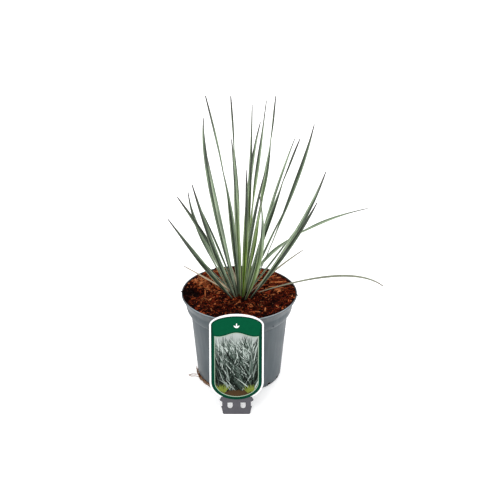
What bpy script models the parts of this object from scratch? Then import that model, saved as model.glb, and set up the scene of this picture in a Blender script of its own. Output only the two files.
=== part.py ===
"""
A young beaked yucca in a round nursery pot, with the plant label that leans on the pot.
Metres, +Z up. The origin is the centre of the pot's underside, and the front is -Y.
"""
import math
import random

import bmesh
import bpy
from mathutils import Matrix, Vector

MM = 0.001
FIT_GAP = 0.3 * MM        # clearance between pieces that touch
MERGE = 0.01 * MM
SIDES = 54                # facets round the pot and the soil

# Pot: an outline that is the same all round
POT_HEIGHT = 123.0 * MM
RIM_RADIUS = 77.4 * MM
LIP_WIDTH = 1.4 * MM
LIP_ROUND = 0.5 * MM      # chamfer of the lip's two edges
LIP_FACE_Z = 121.3 * MM   # the wall stops flaring here, and the lip's upright face starts
FLARE_FOOT_Z = 110.3 * MM
FLARE_FOOT_RADIUS = 71.7 * MM
COLLAR_FOOT_Z = 93.7 * MM
COLLAR_FOOT_RADIUS = 65.0 * MM
COLLAR_CURVE = 2.7        # above 1 the collar bulges outward
COLLAR_SHARES = (0.0, 0.3, 0.6, 0.85, 1.0)      # rings of the collar, from its top down
BASE_RADIUS = 57.1 * MM
POT_WALL = 1.2 * MM
POT_FLOOR = 2.2 * MM
FOOT_CHAMFER = 2.2 * MM
FOOT_RING_RADIUS = 47.0 * MM
FOOT_PAD_RADIUS = 21.0 * MM
FOOT_RECESS = 0.9 * MM
DRAIN_SLOTS = 18
DRAIN_WIDTH = 5.5 * MM
DRAIN_HEIGHT = 5.0 * MM
DRAIN_DEPTH = 6.0 * MM
DRAIN_TURN = math.radians(15.0)

# Soil: fills the pot to just under its lip, with rough relief on top
SOIL_EDGE_Z = 121.8 * MM
SOIL_CROWN_Z = 115.4 * MM
SOIL_DISH = 1.5           # above 1 the top dips toward the crown
SOIL_LUMP = 1.1 * MM
SOIL_WAVES = (5.1 * MM, 4.3 * MM)
SOIL_WAVE_SHARE = 0.5
SOIL_ROUGHNESS = 0.6
SOIL_RINGS = 9
SOIL_SEED = 11
HOLLOW_AT = (-56.0 * MM, 5.0 * MM)
HOLLOW_RADIUS = 12.0 * MM
HOLLOW_DEPTH = 3.2 * MM
HOLE_RADIUS = 19.5 * MM         # the plant's hole is a funnel that its leaves flare out of
HOLE_FLOOR_RADIUS = 15.5 * MM
HOLE_FLOOR_Z = 98.0 * MM

# Stem: a short stub just under the soil's top, which every leaf grows out of
CROWN_X = 2.5 * MM              # the plant stands a little to the right of the pot's centre
STEM_SIDES = 12
STEM_RADIUS = 12.0 * MM
STEM_SHOULDER_Z = 113.0 * MM
STEM_TOP_Z = 118.5 * MM
STEM_TOP_RADIUS = 6.5 * MM
ROOT_Z = 104.0 * MM
ROOT_RISE = 11.0 * MM           # how much higher the flattest leaves leave the stem
ROOT_LEANS = (35.0, 50.0)       # degrees of lean at which that rise starts and is whole
ROOT_RADIUS = 2.5 * MM
ROOT_SPREAD = 5.0 * MM          # how much further out the leaning ones do
ROOT_SPREAD_LEAN = 40.0         # degrees of lean at which that spread is whole

# Blades: shallow channels that taper from the middle to a long fine point
BLADE_STATIONS = (0.0, 0.08, 0.16, 0.24, 0.32, 0.40, 0.48, 0.56, 0.64, 0.72, 0.80, 0.88, 0.95, 1.0)
BLADE_THICKNESS = 0.8 * MM
BLADE_CHANNEL = 0.28            # depth of the channel over half the width
BLADE_POINT = 0.10              # half width at the point over the widest half width
BLADE_BASE = 0.33               # half width at the root over the same
BLADE_BASE_TAPER = 1.3
BLADE_WIDEST = 0.50             # share of the length at which the blade is widest
BLADE_TAPER = 1.7
ROLL_SETTLED = 0.30             # share of the length over which a blade turns from its stem to its roll

# Leaves, in millimetres and degrees: the tip's x, y and z, the bow upward, the sway to the left,
# the lead of the bend (0.5 is the middle), the width, the roll in the middle and the twist from
# there to the tip
LEAVES = (
    (-42.4, 25, 387, 7, -3.6, 0.40, 7.2, -63, 235),
    (-43, -30, 376, -5.5, -6, 0.75, 6.0, 58, -20),
    (-38, -60, 336, 0.6, -2, 0.70, 4.8, 38, 0),
    (-11, 50, 379, 6, 0.3, 0.50, 7.4, -70, 320),
    (-9.3, -50, 356, 4, 1.2, 0.60, 5.2, 15, -20),
    (16.3, 40, 371, 6, -4, 0.40, 6.2, 0, 100),
    (28, 75, 336, 2, 6.2, 0.65, 5.6, 15, -20),
    (33.2, -10, 392, 1, -4, 0.55, 5.6, -32, 300),
    (47, 60, 376, 0, -4, 0.50, 6.4, -142, 520),
    (8, -90, 333, 1, 3, 0.50, 5.2, -10, 0),
    (74.5, 75, 315, 6, 0, 0.60, 4.2, 38, 0),
    (78.5, 40, 325, 3, 3.2, 0.60, 6.2, 15, 330),
    (93.4, 5, 356.6, -5, -2.6, 0.65, 6.2, -13, 195),
    (104, -60, 318, -7.6, 1.6, 0.63, 6.0, -75, 10),
    (93, -85, 289, -2.9, 3, 0.63, 5.4, -62, 0),
    (168, 15, 238, 31.5, 1, 0.35, 5.4, 31, 430),
    (-85.5, -90, 269.5, -0.8, -3.3, 0.50, 6.4, 80, -110),
    (-76, -50, 281, 7, -2, 0.40, 6.6, 72, 0),
    (-65.4, 0, 267, -6.8, 4, 0.70, 5.6, 33, 240),
    (-56.4, -75, 308, -1, -4.2, 0.38, 6.4, 48, 0),
    (24, -95, 302, -12, 8.8, 0.60, 6.4, -20, -50),
    (30, -75, 322, 2, -3.5, 0.50, 4.8, -25, 0),
)

# Old leaves, thinner and drying, in the same terms
OLD_LEAVES = (
    (199, 42, 108.8, 20, 2, 0.75, 2.4, 45, 20),
    (85, 20, 175, 3, 0, 0.50, 1.9, 30, 20),
    (-76, 40, 141, 1, 1, 0.60, 1.7, -40, 30),
    (-35, 25, 131, 0, 0, 0.50, 1.7, -40, 20),
    (14, 50, 152, -3, 2, 0.50, 2.4, 10, 20),
    (-12, 44, 140, 3, 0, 0.50, 2.2, 0, 30),
)

# Leaves at the back, which the front ones hide: only their tips are set, and a seeded draw does the rest
BACK_TIPS = (
    (-67, 65, 156), (-57, 35, 205), (-55, 80, 213), (-40, 105, 215), (-17, 95, 226), (-1, 120, 171),
    (14, 130, 182), (21, 110, 229), (38, 120, 243), (50, 110, 217), (69, 90, 216), (79, 75, 181),
)
BACK_SEED = 5
BACK_BOWS = (-3.0, 3.0)
BACK_WIDTHS = (3.8, 4.6)
BACK_ROLLS = (-25.0, 25.0)
BACK_TWISTS = (-30.0, 30.0)

# Label: a flat die-cut tag, seen upright from its front, then leant back on the pot's lip
LABEL_LENGTH = 135.0 * MM
LABEL_HALF_WIDTH = 34.8 * MM
LABEL_THICKNESS = 0.7 * MM
LABEL_X = -3.5 * MM
LABEL_FOOT_Y = -106.0 * MM
LABEL_SIDE_TOP = 120.0 * MM      # heights along the tag, from the end of its tab
LABEL_SIDE_FOOT = 44.0 * MM
LABEL_SHOULDER = 24.0 * MM
TAB_SHOULDER_HALF = 20.5 * MM
TAB_TOOTH_HALF = 21.8 * MM
TAB_LOW_TOOTH_HALF = 20.0 * MM
TAB_SIDE_HALF = 19.2 * MM
TAB_NOTCH_HALF = 18.6 * MM
TAB_END_HALF = 18.0 * MM
TAB_NECK_HALF = 20.2 * MM
TAB_NECK_FOOT = 22.0 * MM
TAB_TOOTH_TOP = 20.8 * MM
TAB_TOOTH_FOOT = 18.8 * MM
TAB_NOTCH_TOP = 16.8 * MM
TAB_NOTCH_FOOT = 11.4 * MM
TAB_LOW_TOOTH_TOP = 10.4 * MM
TAB_LOW_TOOTH_FOOT = 8.4 * MM
TAB_CORNER = 2.6 * MM
WINDOW_CENTRE = 8.4 * MM
WINDOW_HALF_WIDTH = 3.2 * MM
WINDOW_TOP = 15.8 * MM
WINDOW_FOOT = 8.0 * MM
ARC_STEPS = 8

# Finishes: a linear colour and a roughness for each piece
POT_FINISH = ((0.10, 0.12, 0.13), 0.45)
SOIL_FINISH = ((0.16, 0.055, 0.02), 0.95)
LEAF_FINISH = ((0.13, 0.19, 0.11), 0.55)
LABEL_FINISH = ((0.02, 0.22, 0.13), 0.35)


def remove_scene_objects():
    for old in list(bpy.data.objects):
        bpy.data.objects.remove(old, do_unlink=True)


def new_collection(name):
    made = bpy.data.collections.new(name)
    bpy.context.scene.collection.children.link(made)
    return made


def finish(name, colour, roughness):
    """A plain surface finish for one sub-part."""
    material = bpy.data.materials.new(name)
    material.use_nodes = True
    shader = material.node_tree.nodes["Principled BSDF"]
    shader.inputs["Base Color"].default_value = (*colour, 1.0)
    shader.inputs["Roughness"].default_value = roughness
    shader.inputs["Metallic"].default_value = 0.0
    return material


def add_object(name, mesh, collection, material=None):
    made = bpy.data.objects.new(name, mesh)
    collection.objects.link(made)
    if material:
        mesh.materials.append(material)
    return made


def evaluated_mesh(source):
    """The object's mesh with its modifiers or its curve made real."""
    graph = bpy.context.evaluated_depsgraph_get()
    graph.update()
    return bpy.data.meshes.new_from_object(source.evaluated_get(graph))


def turned(name, outline, sides, collection, material=None):
    """A solid of revolution, from an outline that ends on the axis or closes on itself."""
    mesh = bpy.data.meshes.new(name)
    mesh.from_pydata([(r, 0.0, z) for r, z in outline], [(i, i + 1) for i in range(len(outline) - 1)], [])
    made = add_object(name, mesh, collection, material)
    screw = made.modifiers.new("turn", "SCREW")
    screw.steps = sides
    screw.render_steps = sides
    screw.use_merge_vertices = True
    screw.merge_threshold = MERGE
    screw.use_smooth_shade = True
    return made


def wall_radius(z):
    """Outer radius of the pot at a height, under its lip."""
    if z >= FLARE_FOOT_Z:
        up = (z - FLARE_FOOT_Z) / (LIP_FACE_Z - FLARE_FOOT_Z)
        return FLARE_FOOT_RADIUS + (RIM_RADIUS - FLARE_FOOT_RADIUS) * min(up, 1.0)
    if z >= COLLAR_FOOT_Z:
        down = (FLARE_FOOT_Z - z) / (FLARE_FOOT_Z - COLLAR_FOOT_Z)
        return FLARE_FOOT_RADIUS - (FLARE_FOOT_RADIUS - COLLAR_FOOT_RADIUS) * down ** COLLAR_CURVE
    return BASE_RADIUS + (COLLAR_FOOT_RADIUS - BASE_RADIUS) * z / COLLAR_FOOT_Z


def collar_heights():
    return [FLARE_FOOT_Z - (FLARE_FOOT_Z - COLLAR_FOOT_Z) * share for share in COLLAR_SHARES]


def pot_outline():
    inside = [(0.0, POT_FLOOR), (wall_radius(POT_FLOOR) - POT_WALL, POT_FLOOR)]
    inside += [(wall_radius(z) - POT_WALL, z) for z in collar_heights()[::-1] + [LIP_FACE_Z]]
    lip = [(RIM_RADIUS - LIP_WIDTH, POT_HEIGHT - LIP_ROUND),
           (RIM_RADIUS - LIP_WIDTH + LIP_ROUND, POT_HEIGHT),
           (RIM_RADIUS - LIP_ROUND, POT_HEIGHT),
           (RIM_RADIUS, POT_HEIGHT - LIP_ROUND)]
    outside = [(wall_radius(z), z) for z in [LIP_FACE_Z] + collar_heights() + [FOOT_CHAMFER]]
    foot = [(BASE_RADIUS - FOOT_CHAMFER, 0.0),
            (FOOT_RING_RADIUS, 0.0),
            (FOOT_RING_RADIUS - FOOT_RECESS, FOOT_RECESS),
            (FOOT_PAD_RADIUS + FOOT_RECESS, FOOT_RECESS),
            (FOOT_PAD_RADIUS, 0.0),
            (0.0, 0.0)]
    return inside + lip + outside + foot


def drain_cutter(collection):
    """One block for each drain slot, all in one cutter."""
    shape = bmesh.new()
    for slot in range(DRAIN_SLOTS):
        turn = DRAIN_TURN + math.tau * slot / DRAIN_SLOTS
        block = bmesh.ops.create_cube(shape, size=1.0)["verts"]
        bmesh.ops.scale(shape, verts=block, vec=(DRAIN_DEPTH, DRAIN_WIDTH, 2.0 * DRAIN_HEIGHT))
        bmesh.ops.translate(shape, verts=block, vec=(BASE_RADIUS - 0.5 * DRAIN_DEPTH + POT_WALL, 0.0, 0.0))
        bmesh.ops.rotate(shape, verts=block, cent=(0.0, 0.0, 0.0), matrix=Matrix.Rotation(turn, 3, "Z"))
    mesh = bpy.data.meshes.new("drain_cutter")
    shape.to_mesh(mesh)
    shape.free()
    cutter = add_object("drain_cutter", mesh, collection)
    cutter.hide_render = True
    cutter.display_type = "WIRE"
    return cutter


def make_pot(parts, cutters):
    pot = turned("pot", pot_outline(), SIDES, parts, finish("pot_plastic", *POT_FINISH))
    cut = pot.modifiers.new("drain_slots", "BOOLEAN")
    cut.operation = "DIFFERENCE"
    cut.object = drain_cutter(cutters)
    return pot


def soil_height(radius):
    """Mean height of the soil's top: a little lower round the crown than along the pot's wall."""
    out = (radius - HOLE_RADIUS) / (wall_radius(SOIL_EDGE_Z) - HOLE_RADIUS)
    return SOIL_CROWN_Z + (SOIL_EDGE_Z - SOIL_CROWN_Z) * max(out, 0.0) ** SOIL_DISH


def soil_outline():
    clear = POT_WALL + 2.0 * FIT_GAP
    foot_z = POT_FLOOR + FIT_GAP
    sides = [SOIL_EDGE_Z] + collar_heights() + [foot_z]
    edge = wall_radius(SOIL_EDGE_Z) - clear
    rings = [HOLE_RADIUS + (edge - HOLE_RADIUS) * i / SOIL_RINGS for i in range(SOIL_RINGS)]
    top = [(r, soil_height(r)) for r in rings]
    return [(0.0, HOLE_FLOOR_Z), (HOLE_FLOOR_RADIUS, HOLE_FLOOR_Z)] + top \
        + [(wall_radius(z) - clear, z) for z in sides] + [(0.0, foot_z)]


def soil_relief(x, y, draw):
    """Lumps of the potting mix, with one deeper hollow on the left."""
    lump = SOIL_WAVE_SHARE * math.sin(x / SOIL_WAVES[0]) * math.cos(y / SOIL_WAVES[1])
    lump += draw.uniform(-SOIL_ROUGHNESS, SOIL_ROUGHNESS)
    away = math.hypot(x - HOLLOW_AT[0], y - HOLLOW_AT[1]) / HOLLOW_RADIUS
    return SOIL_LUMP * lump - HOLLOW_DEPTH * math.exp(-away * away)


def make_soil(parts):
    draw = random.Random(SOIL_SEED)
    blank = turned("soil_blank", soil_outline(), SIDES, parts)
    mesh = evaluated_mesh(blank)
    bpy.data.objects.remove(blank)
    margin = 2.0 * FIT_GAP
    edge = wall_radius(SOIL_EDGE_Z) - POT_WALL - 2.0 * margin
    for vertex in mesh.vertices:
        radius = math.hypot(vertex.co.x, vertex.co.y)
        if HOLE_FLOOR_Z < vertex.co.z and HOLE_RADIUS + margin < radius < edge:
            vertex.co.z += soil_relief(vertex.co.x, vertex.co.y, draw)
    mesh.name = "soil"
    return add_object("soil", mesh, parts, finish("soil_mix", *SOIL_FINISH))


def half_width(share):
    """Blade half width at a share of its length, over its widest half width."""
    past = max(share - BLADE_WIDEST, 0.0) / (1.0 - BLADE_WIDEST)
    before = max(BLADE_WIDEST - share, 0.0) / BLADE_WIDEST
    return 1.0 - (1.0 - BLADE_POINT) * past ** BLADE_TAPER \
        - (1.0 - BLADE_BASE) * before ** BLADE_BASE_TAPER


def centre_line(root, tip, bow, sway, lead):
    """The root, the middle control point and the tip of a blade's smooth centre line."""
    chord = tip - root
    side = Vector((0.0, 0.0, 1.0)).cross(chord).normalized()
    up = chord.cross(side).normalized()
    return root, root + chord * lead + 2.0 * bow * up + 2.0 * sway * side, tip


def blade_section(line, share, width, roll, twist):
    """The six corners of a blade's cross-section: three on its upper face, three on its lower."""
    root, middle, tip = line
    rest = 1.0 - share
    centre = rest * rest * root + 2.0 * share * rest * middle + share * share * tip
    along = (rest * (middle - root) + share * (tip - middle)).normalized()
    side = Vector((0.0, 0.0, 1.0)).cross(along).normalized()
    up = along.cross(side)
    settled = min(share / ROLL_SETTLED, 1.0)
    turn = roll * settled * settled * (3.0 - 2.0 * settled) + twist * max(share - ROLL_SETTLED, 0.0)
    across = math.cos(turn) * side + math.sin(turn) * up
    normal = along.cross(across)
    reach = 0.5 * width * half_width(share)
    rise = BLADE_CHANNEL * reach
    skin = 0.5 * BLADE_THICKNESS * normal
    rib = [centre - reach * across + rise * normal, centre, centre + reach * across + rise * normal]
    return [point + skin for point in rib] + [point - skin for point in rib]


def blade_mesh(name, line, width, roll, twist):
    """A closed blade, split into triangles in the same way on both faces."""
    points = []
    for share in BLADE_STATIONS:
        points += blade_section(line, share, width, roll, twist)
    faces = []
    for span in range(len(BLADE_STATIONS) - 1):
        a = 6 * span
        b = a + 6
        for left in (0, 1):
            faces += [(a + left, a + left + 1, b + left + 1), (a + left, b + left + 1, b + left)]
            low = left + 3
            faces += [(a + low, b + low + 1, a + low + 1), (a + low, b + low, b + low + 1)]
        faces += [(a, b, b + 3), (a, b + 3, a + 3), (a + 2, a + 5, b + 5), (a + 2, b + 5, b + 2)]
    end = 6 * (len(BLADE_STATIONS) - 1)
    faces += [(0, 3, 4), (0, 4, 1), (1, 4, 5), (1, 5, 2)]
    faces += [(end, end + 4, end + 3), (end, end + 1, end + 4), (end + 1, end + 5, end + 4),
              (end + 1, end + 2, end + 5)]
    mesh = bpy.data.meshes.new(name)
    mesh.from_pydata(points, [], faces)
    return mesh


def root_of(tip):
    """Where a leaf leaves the stem: the flatter it lies, the higher and the further out."""
    away = tip.x - CROWN_X
    heading = math.atan2(tip.y, away)
    lean = math.degrees(math.atan2(math.hypot(away, tip.y), tip.z - ROOT_Z))
    low = (lean - ROOT_LEANS[0]) / (ROOT_LEANS[1] - ROOT_LEANS[0])
    radius = ROOT_RADIUS + ROOT_SPREAD * min(lean / ROOT_SPREAD_LEAN, 1.0)
    height = ROOT_Z + ROOT_RISE * min(max(low, 0.0), 1.0)
    return Vector((CROWN_X + radius * math.cos(heading), radius * math.sin(heading), height))


def back_leaves():
    """Rows like those of the other leaves, for the ones at the back."""
    draw = random.Random(BACK_SEED)
    return [(*tip, draw.uniform(*BACK_BOWS), 0.0, 0.5, draw.uniform(*BACK_WIDTHS),
             draw.uniform(*BACK_ROLLS), draw.uniform(*BACK_TWISTS)) for tip in BACK_TIPS]


def add_blades(rows, label, collection):
    for i, (x, y, z, bow, sway, lead, width, roll, twist) in enumerate(rows):
        tip = Vector((x, y, z)) * MM
        line = centre_line(root_of(tip), tip, bow * MM, sway * MM, lead)
        name = f"{label}_{i:02d}"
        mesh = blade_mesh(name, line, width * MM, math.radians(roll), math.radians(twist))
        add_object(name, mesh, collection)


def keep_largest_body(mesh):
    """Fills the small hollows that fusing seals, by removing their loose walls."""
    shape = bmesh.new()
    shape.from_mesh(mesh)
    waiting = set(shape.verts)
    bodies = []
    while waiting:
        body = set()
        edge_of_search = [waiting.pop()]
        while edge_of_search:
            vertex = edge_of_search.pop()
            body.add(vertex)
            near = {link.other_vert(vertex) for link in vertex.link_edges} & waiting
            waiting -= near
            edge_of_search += near
        bodies.append(body)
    largest = max(bodies, key=len)
    scraps = [vertex for body in bodies if body is not largest for vertex in body]
    bmesh.ops.delete(shape, geom=scraps, context="VERTS")
    shape.to_mesh(mesh)
    shape.free()


def make_leafy_stem(parts):
    outline = [(0.0, STEM_TOP_Z),
               (STEM_TOP_RADIUS, STEM_TOP_Z),
               (STEM_RADIUS, STEM_SHOULDER_Z),
               (STEM_RADIUS, HOLE_FLOOR_Z + FIT_GAP),
               (0.0, HOLE_FLOOR_Z + FIT_GAP)]
    stem = turned("stem_core", outline, STEM_SIDES, parts)
    stem.location.x = CROWN_X
    blades = new_collection("blades")
    add_blades(LEAVES, "leaf", blades)
    add_blades(OLD_LEAVES, "old_leaf", blades)
    add_blades(back_leaves(), "back_leaf", blades)
    union = stem.modifiers.new("union", "BOOLEAN")
    union.operation = "UNION"
    union.operand_type = "COLLECTION"
    union.collection = blades
    mesh = evaluated_mesh(stem)
    for made in list(blades.objects) + [stem]:
        bpy.data.objects.remove(made)
    bpy.data.collections.remove(blades)
    keep_largest_body(mesh)
    mesh.name = "leafy_stem"
    mesh.materials.clear()
    return add_object("leafy_stem", mesh, parts, finish("leaf_green", *LEAF_FINISH))


def arc(centre_x, centre_y, radius_x, radius_y, start, end):
    """Points along part of an ellipse, both ends kept, angles in degrees."""
    turns = [math.radians(start + (end - start) * i / ARC_STEPS) for i in range(ARC_STEPS + 1)]
    return [(centre_x + radius_x * math.cos(t), centre_y + radius_y * math.sin(t)) for t in turns]


def label_outline():
    """The right half from the tab's end up, then mirrored down the left."""
    lower = math.degrees(math.acos(TAB_SHOULDER_HALF / LABEL_HALF_WIDTH))
    drop = (LABEL_SIDE_FOOT - LABEL_SHOULDER) / math.sin(math.radians(lower))
    corner = arc(TAB_END_HALF - TAB_CORNER, TAB_CORNER, TAB_CORNER, TAB_CORNER, -90.0, 0.0)
    half = corner + [(TAB_SIDE_HALF, TAB_LOW_TOOTH_FOOT),
                     (TAB_LOW_TOOTH_HALF, TAB_LOW_TOOTH_TOP),
                     (TAB_NOTCH_HALF, TAB_NOTCH_FOOT),
                     (TAB_NOTCH_HALF, TAB_NOTCH_TOP),
                     (TAB_TOOTH_HALF, TAB_TOOTH_FOOT),
                     (TAB_TOOTH_HALF, TAB_TOOTH_TOP),
                     (TAB_NECK_HALF, TAB_NECK_FOOT)]
    half += arc(0.0, LABEL_SIDE_FOOT, LABEL_HALF_WIDTH, drop, -lower, 0.0)
    half += arc(0.0, LABEL_SIDE_TOP, LABEL_HALF_WIDTH, LABEL_LENGTH - LABEL_SIDE_TOP, 0.0, 90.0)
    return half + [(-x, y) for x, y in half[-2::-1]]


def window_outline(centre):
    bowl = arc(centre, WINDOW_FOOT + WINDOW_HALF_WIDTH, WINDOW_HALF_WIDTH, WINDOW_HALF_WIDTH, -180.0, 0.0)
    return bowl + [(centre + WINDOW_HALF_WIDTH, WINDOW_TOP), (centre - WINDOW_HALF_WIDTH, WINDOW_TOP)]


def label_lean():
    """Lean at which the tag's back clears the pot's lip by the fitting gap."""
    away = -LABEL_FOOT_Y - RIM_RADIUS
    lip_z = POT_HEIGHT - LIP_ROUND
    return math.acos(FIT_GAP / math.hypot(away, lip_z)) - math.atan2(lip_z, away)


def make_label(parts):
    curve = bpy.data.curves.new("label_outline", "CURVE")
    curve.dimensions = "2D"
    curve.fill_mode = "BOTH"
    curve.extrude = 0.5 * LABEL_THICKNESS
    for outline in (label_outline(), window_outline(-WINDOW_CENTRE), window_outline(WINDOW_CENTRE)):
        spline = curve.splines.new("POLY")
        spline.points.add(len(outline) - 1)
        for point, (x, y) in zip(spline.points, outline):
            point.co = (x, y, 0.0, 1.0)
        spline.use_cyclic_u = True
    drawn = bpy.data.objects.new("label_drawn", curve)
    parts.objects.link(drawn)
    lean = label_lean()
    drawn.rotation_euler = (0.5 * math.pi - lean, 0.0, 0.0)
    drawn.location = (LABEL_X, LABEL_FOOT_Y - 0.5 * LABEL_THICKNESS * math.cos(lean),
                      0.5 * LABEL_THICKNESS * math.sin(lean))
    mesh = evaluated_mesh(drawn)
    shape = bmesh.new()
    shape.from_mesh(mesh)
    bmesh.ops.remove_doubles(shape, verts=shape.verts, dist=MERGE)
    shape.to_mesh(mesh)
    shape.free()
    label = add_object("label", mesh, parts, finish("label_plastic", *LABEL_FINISH))
    bpy.context.view_layer.update()
    label.matrix_world = drawn.matrix_world
    bpy.data.objects.remove(drawn)
    return label


def main():
    remove_scene_objects()
    parts = new_collection("beaked_yucca")
    cutters = new_collection("cutters")
    make_pot(parts, cutters)
    make_soil(parts)
    make_leafy_stem(parts)
    make_label(parts)
    for made in parts.objects:
        made.data.shade_smooth()


main()
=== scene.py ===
"""
The looks of the beaked yucca in its pot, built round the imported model.
Metres, +Z up. The origin is the centre of the pot's underside, and the front is -Y.
"""
import random
from math import acos, atan2, cos, degrees, exp, hypot, pi, radians, sin, sqrt, tau

import bmesh
import bpy
from mathutils import Matrix, Vector, noise


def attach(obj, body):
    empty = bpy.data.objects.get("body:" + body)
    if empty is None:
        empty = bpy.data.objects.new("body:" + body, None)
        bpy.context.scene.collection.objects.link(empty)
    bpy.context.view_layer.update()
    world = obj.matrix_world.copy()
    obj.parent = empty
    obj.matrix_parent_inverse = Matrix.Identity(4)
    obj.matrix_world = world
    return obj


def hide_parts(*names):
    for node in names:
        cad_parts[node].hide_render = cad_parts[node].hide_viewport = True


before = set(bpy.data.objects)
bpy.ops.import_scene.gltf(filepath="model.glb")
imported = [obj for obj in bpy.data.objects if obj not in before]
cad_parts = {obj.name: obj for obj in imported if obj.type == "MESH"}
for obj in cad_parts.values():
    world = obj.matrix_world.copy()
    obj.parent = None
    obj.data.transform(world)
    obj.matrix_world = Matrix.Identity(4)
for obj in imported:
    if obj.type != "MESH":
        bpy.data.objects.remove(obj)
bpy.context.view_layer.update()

MM = 0.001
SHARP = 40.0      # degrees, above which an edge stays sharp
CHIP_SHARP = 35.0
CRUMB_SHARP = 50.0
LEAF_SHARP = 60.0
HAIR = 0.01 * MM      # a tolerance, for comparing lengths
TINY = 1e-9      # lengths under it count as none

# Camera, at the photograph's angle
CAMERA_AT = (0.9 * MM, -1186.0 * MM, 759.0 * MM)
CAMERA_TILT = radians(64.74)
CAMERA_LENS = 75.2
CAMERA_SENSOR = 36.0
CAMERA_FAR = 60.0

# Light and floor
FLOOR_SIZE = 24.0
SKY_STRENGTH = 0.86
FLOOR_GLOW = 0.26
SOFT_LIGHTS = (
    ("key_light", (-0.5, -0.75, 1.6), 55.0, 1.35),
    ("fill_light", (1.2, -0.4, 0.9), 60.0, 0.7),
    ("back_light", (0.2, 1.0, 1.3), 50.0, 0.6),
)      # each one's name, the direction that it comes from, its width in degrees and its strength

# Pot
POT_STEPS = 240
POT_HEIGHT = 123.0 * MM
RIM_RADIUS = 77.4 * MM
LIP_WIDTH = 1.4 * MM
LIP_ROUND = 0.5 * MM
LIP_STEPS = 6
LIP_FACE_Z = 121.3 * MM
FLARE_FOOT_Z = 110.3 * MM
FLARE_FOOT_RADIUS = 71.7 * MM
COLLAR_FOOT_Z = 93.7 * MM
COLLAR_FOOT_RADIUS = 65.0 * MM
COLLAR_CURVE = 2.7
COLLAR_RINGS = 24
BASE_RADIUS = 57.1 * MM
POT_WALL = 1.2 * MM
POT_FLOOR = 2.2 * MM
FOOT_ROUND = 2.6 * MM
FOOT_STEPS = 5
FOOT_RING_RADIUS = 47.0 * MM
FOOT_PAD_RADIUS = 21.0 * MM
FOOT_RECESS = 0.9 * MM
DRAIN_SLOTS = 18
DRAIN_WIDTH = 5.5 * MM
DRAIN_HEIGHT = 5.0 * MM
DRAIN_DEPTH = 6.0 * MM
DRAIN_TURN = radians(15.0)
PIP_RADIUS = 1.3 * MM
PIP_RISE = 0.5 * MM
PIP_STEPS = 12
PIPS = ((-124.0, 33.0), (-51.0, 101.0), (56.0, 33.0), (129.0, 101.0))      # degrees round, height, mm
FOOT_DUST = (0.0, 22.0 * MM)      # the heights between which a look comes or goes
LIP_DUST = (113.0 * MM, 121.5 * MM)
# A painted highlight: a pale line along the top of the lip, only at the front
LIP_HIGHLIGHT_BAND = (121.9 * MM, 122.6 * MM)
LIP_HIGHLIGHT_FRONT = (-50.0 * MM, -20.0 * MM)      # along y

# Soil
SOIL_STEPS = 400
SOIL_RINGS = 74
SOIL_EDGE_Z = 121.8 * MM
SOIL_CROWN_Z = 118.4 * MM
SOIL_DISH = 1.5
SOIL_RING_CROWDING = 0.8
SOIL_CLEAR = 0.6 * MM
HOLLOW_AT = (-56.0 * MM, 5.0 * MM)
HOLLOW_RADIUS = 12.0 * MM
HOLLOW_DEPTH = 4.2 * MM
CROWN_RADIUS = 19.0 * MM
CROWN_DEPTH = 0.6 * MM
SOIL_LUMPS = ((11.0, 1.3), (4.6, 1.3), (2.1, 0.8))      # size and height of the relief, mm
SOIL_LUMP_SHIFT = (3.1, 0.7)
# Areas of the soil: x and y, reach along x and y, mm, and how much brighter the mix is there
SOIL_AREAS = (
    (-46.0, 34.0, 28.0, 22.0, 0.55),
    (-30.0, -6.0, 22.0, 20.0, 0.12),
    # painted shade in the hollow at the left
    (-60.0, 4.0, 15.0, 11.0, -0.95),
    (-70.0, -14.0, 8.0, 22.0, -0.40),
    (-36.0, 8.0, 14.0, 12.0, 0.20),
    (48.0, 40.0, 26.0, 26.0, 0.20),
    (60.0, 14.0, 14.0, 14.0, 0.10),
    (0.0, 58.0, 30.0, 16.0, 0.12),
    (22.0, 12.0, 14.0, 10.0, -0.30),
    # painted shade round the crown, under the leaves
    (2.5, -2.0, 20.0, 14.0, -0.30),
    (0.0, -55.0, 60.0, 22.0, -0.15),
    (44.0, -24.0, 26.0, 20.0, -0.12),
)
SOIL_TONE = 0.30
SOIL_WANDER = 0.34
SOIL_WANDER_SIZE = 9.0 * MM
BRIGHT_BIT = 0.35
BRIGHT_BIT_RARITY = 6

# Loose pieces. A pair is the range in which a value is drawn, with sizes in millimetres and angles in radians
CHIP_COUNT = 1500
CHIP_SEED = 21
CHIP_RING = (15.0, 72.0)
CHIP_LIMIT = 76.0 * MM
CHIP_LENGTHS = (2.2, 7.0)
CHIP_WIDTHS = (0.7, 2.4)
CHIP_THICKNESSES = (0.4, 1.1)
CHIP_LIFTS = (0.2, 1.1)
CHIP_TILT = 0.25
CHIP_ROLL = 0.5
CHIP_BEND = 0.12
CHIP_WIDE = (0.75, 1.1)
CHIP_THICK = (0.7, 1.2)
CHIP_RAGGED = 0.06
CHIP_STATIONS = 4
CHIP_CORNERS = ((-1.0, -1.0), (1.0, -1.0), (1.0, 1.0), (-1.0, 1.0))
CHIP_TAPER = 1.3
CHIP_SPREAD = 0.32
FLAKE_COUNT = 90
FLAKE_AREA = ((22.0, 68.0), (4.0, 62.0))      # x and y of the long flakes at the right back
FLAKE_REACH = 64.0 * MM
FLAKE_LENGTHS = (9.0, 19.0)
FLAKE_WIDTHS = (1.2, 2.8)
FLAKE_THICKNESSES = (0.5, 1.0)
FLAKE_LIFTS = (0.6, 2.2)
FLAKE_HEADING = radians(14.0)
FLAKE_TURN = 0.28
FLAKE_TILT = 0.07
FLAKE_TONE = 0.70
FLAKE_TONES = (0.05, 0.97)
FLAKE_SPREAD = 0.36
CRUMB_COUNT = 7600
CRUMB_RING = (5.0, 75.2)
CRUMB_SIZES = (0.4, 1.5)
CRUMB_SHRINK = (0.5, 1.0)
CRUMB_SUNK = 0.3
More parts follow.
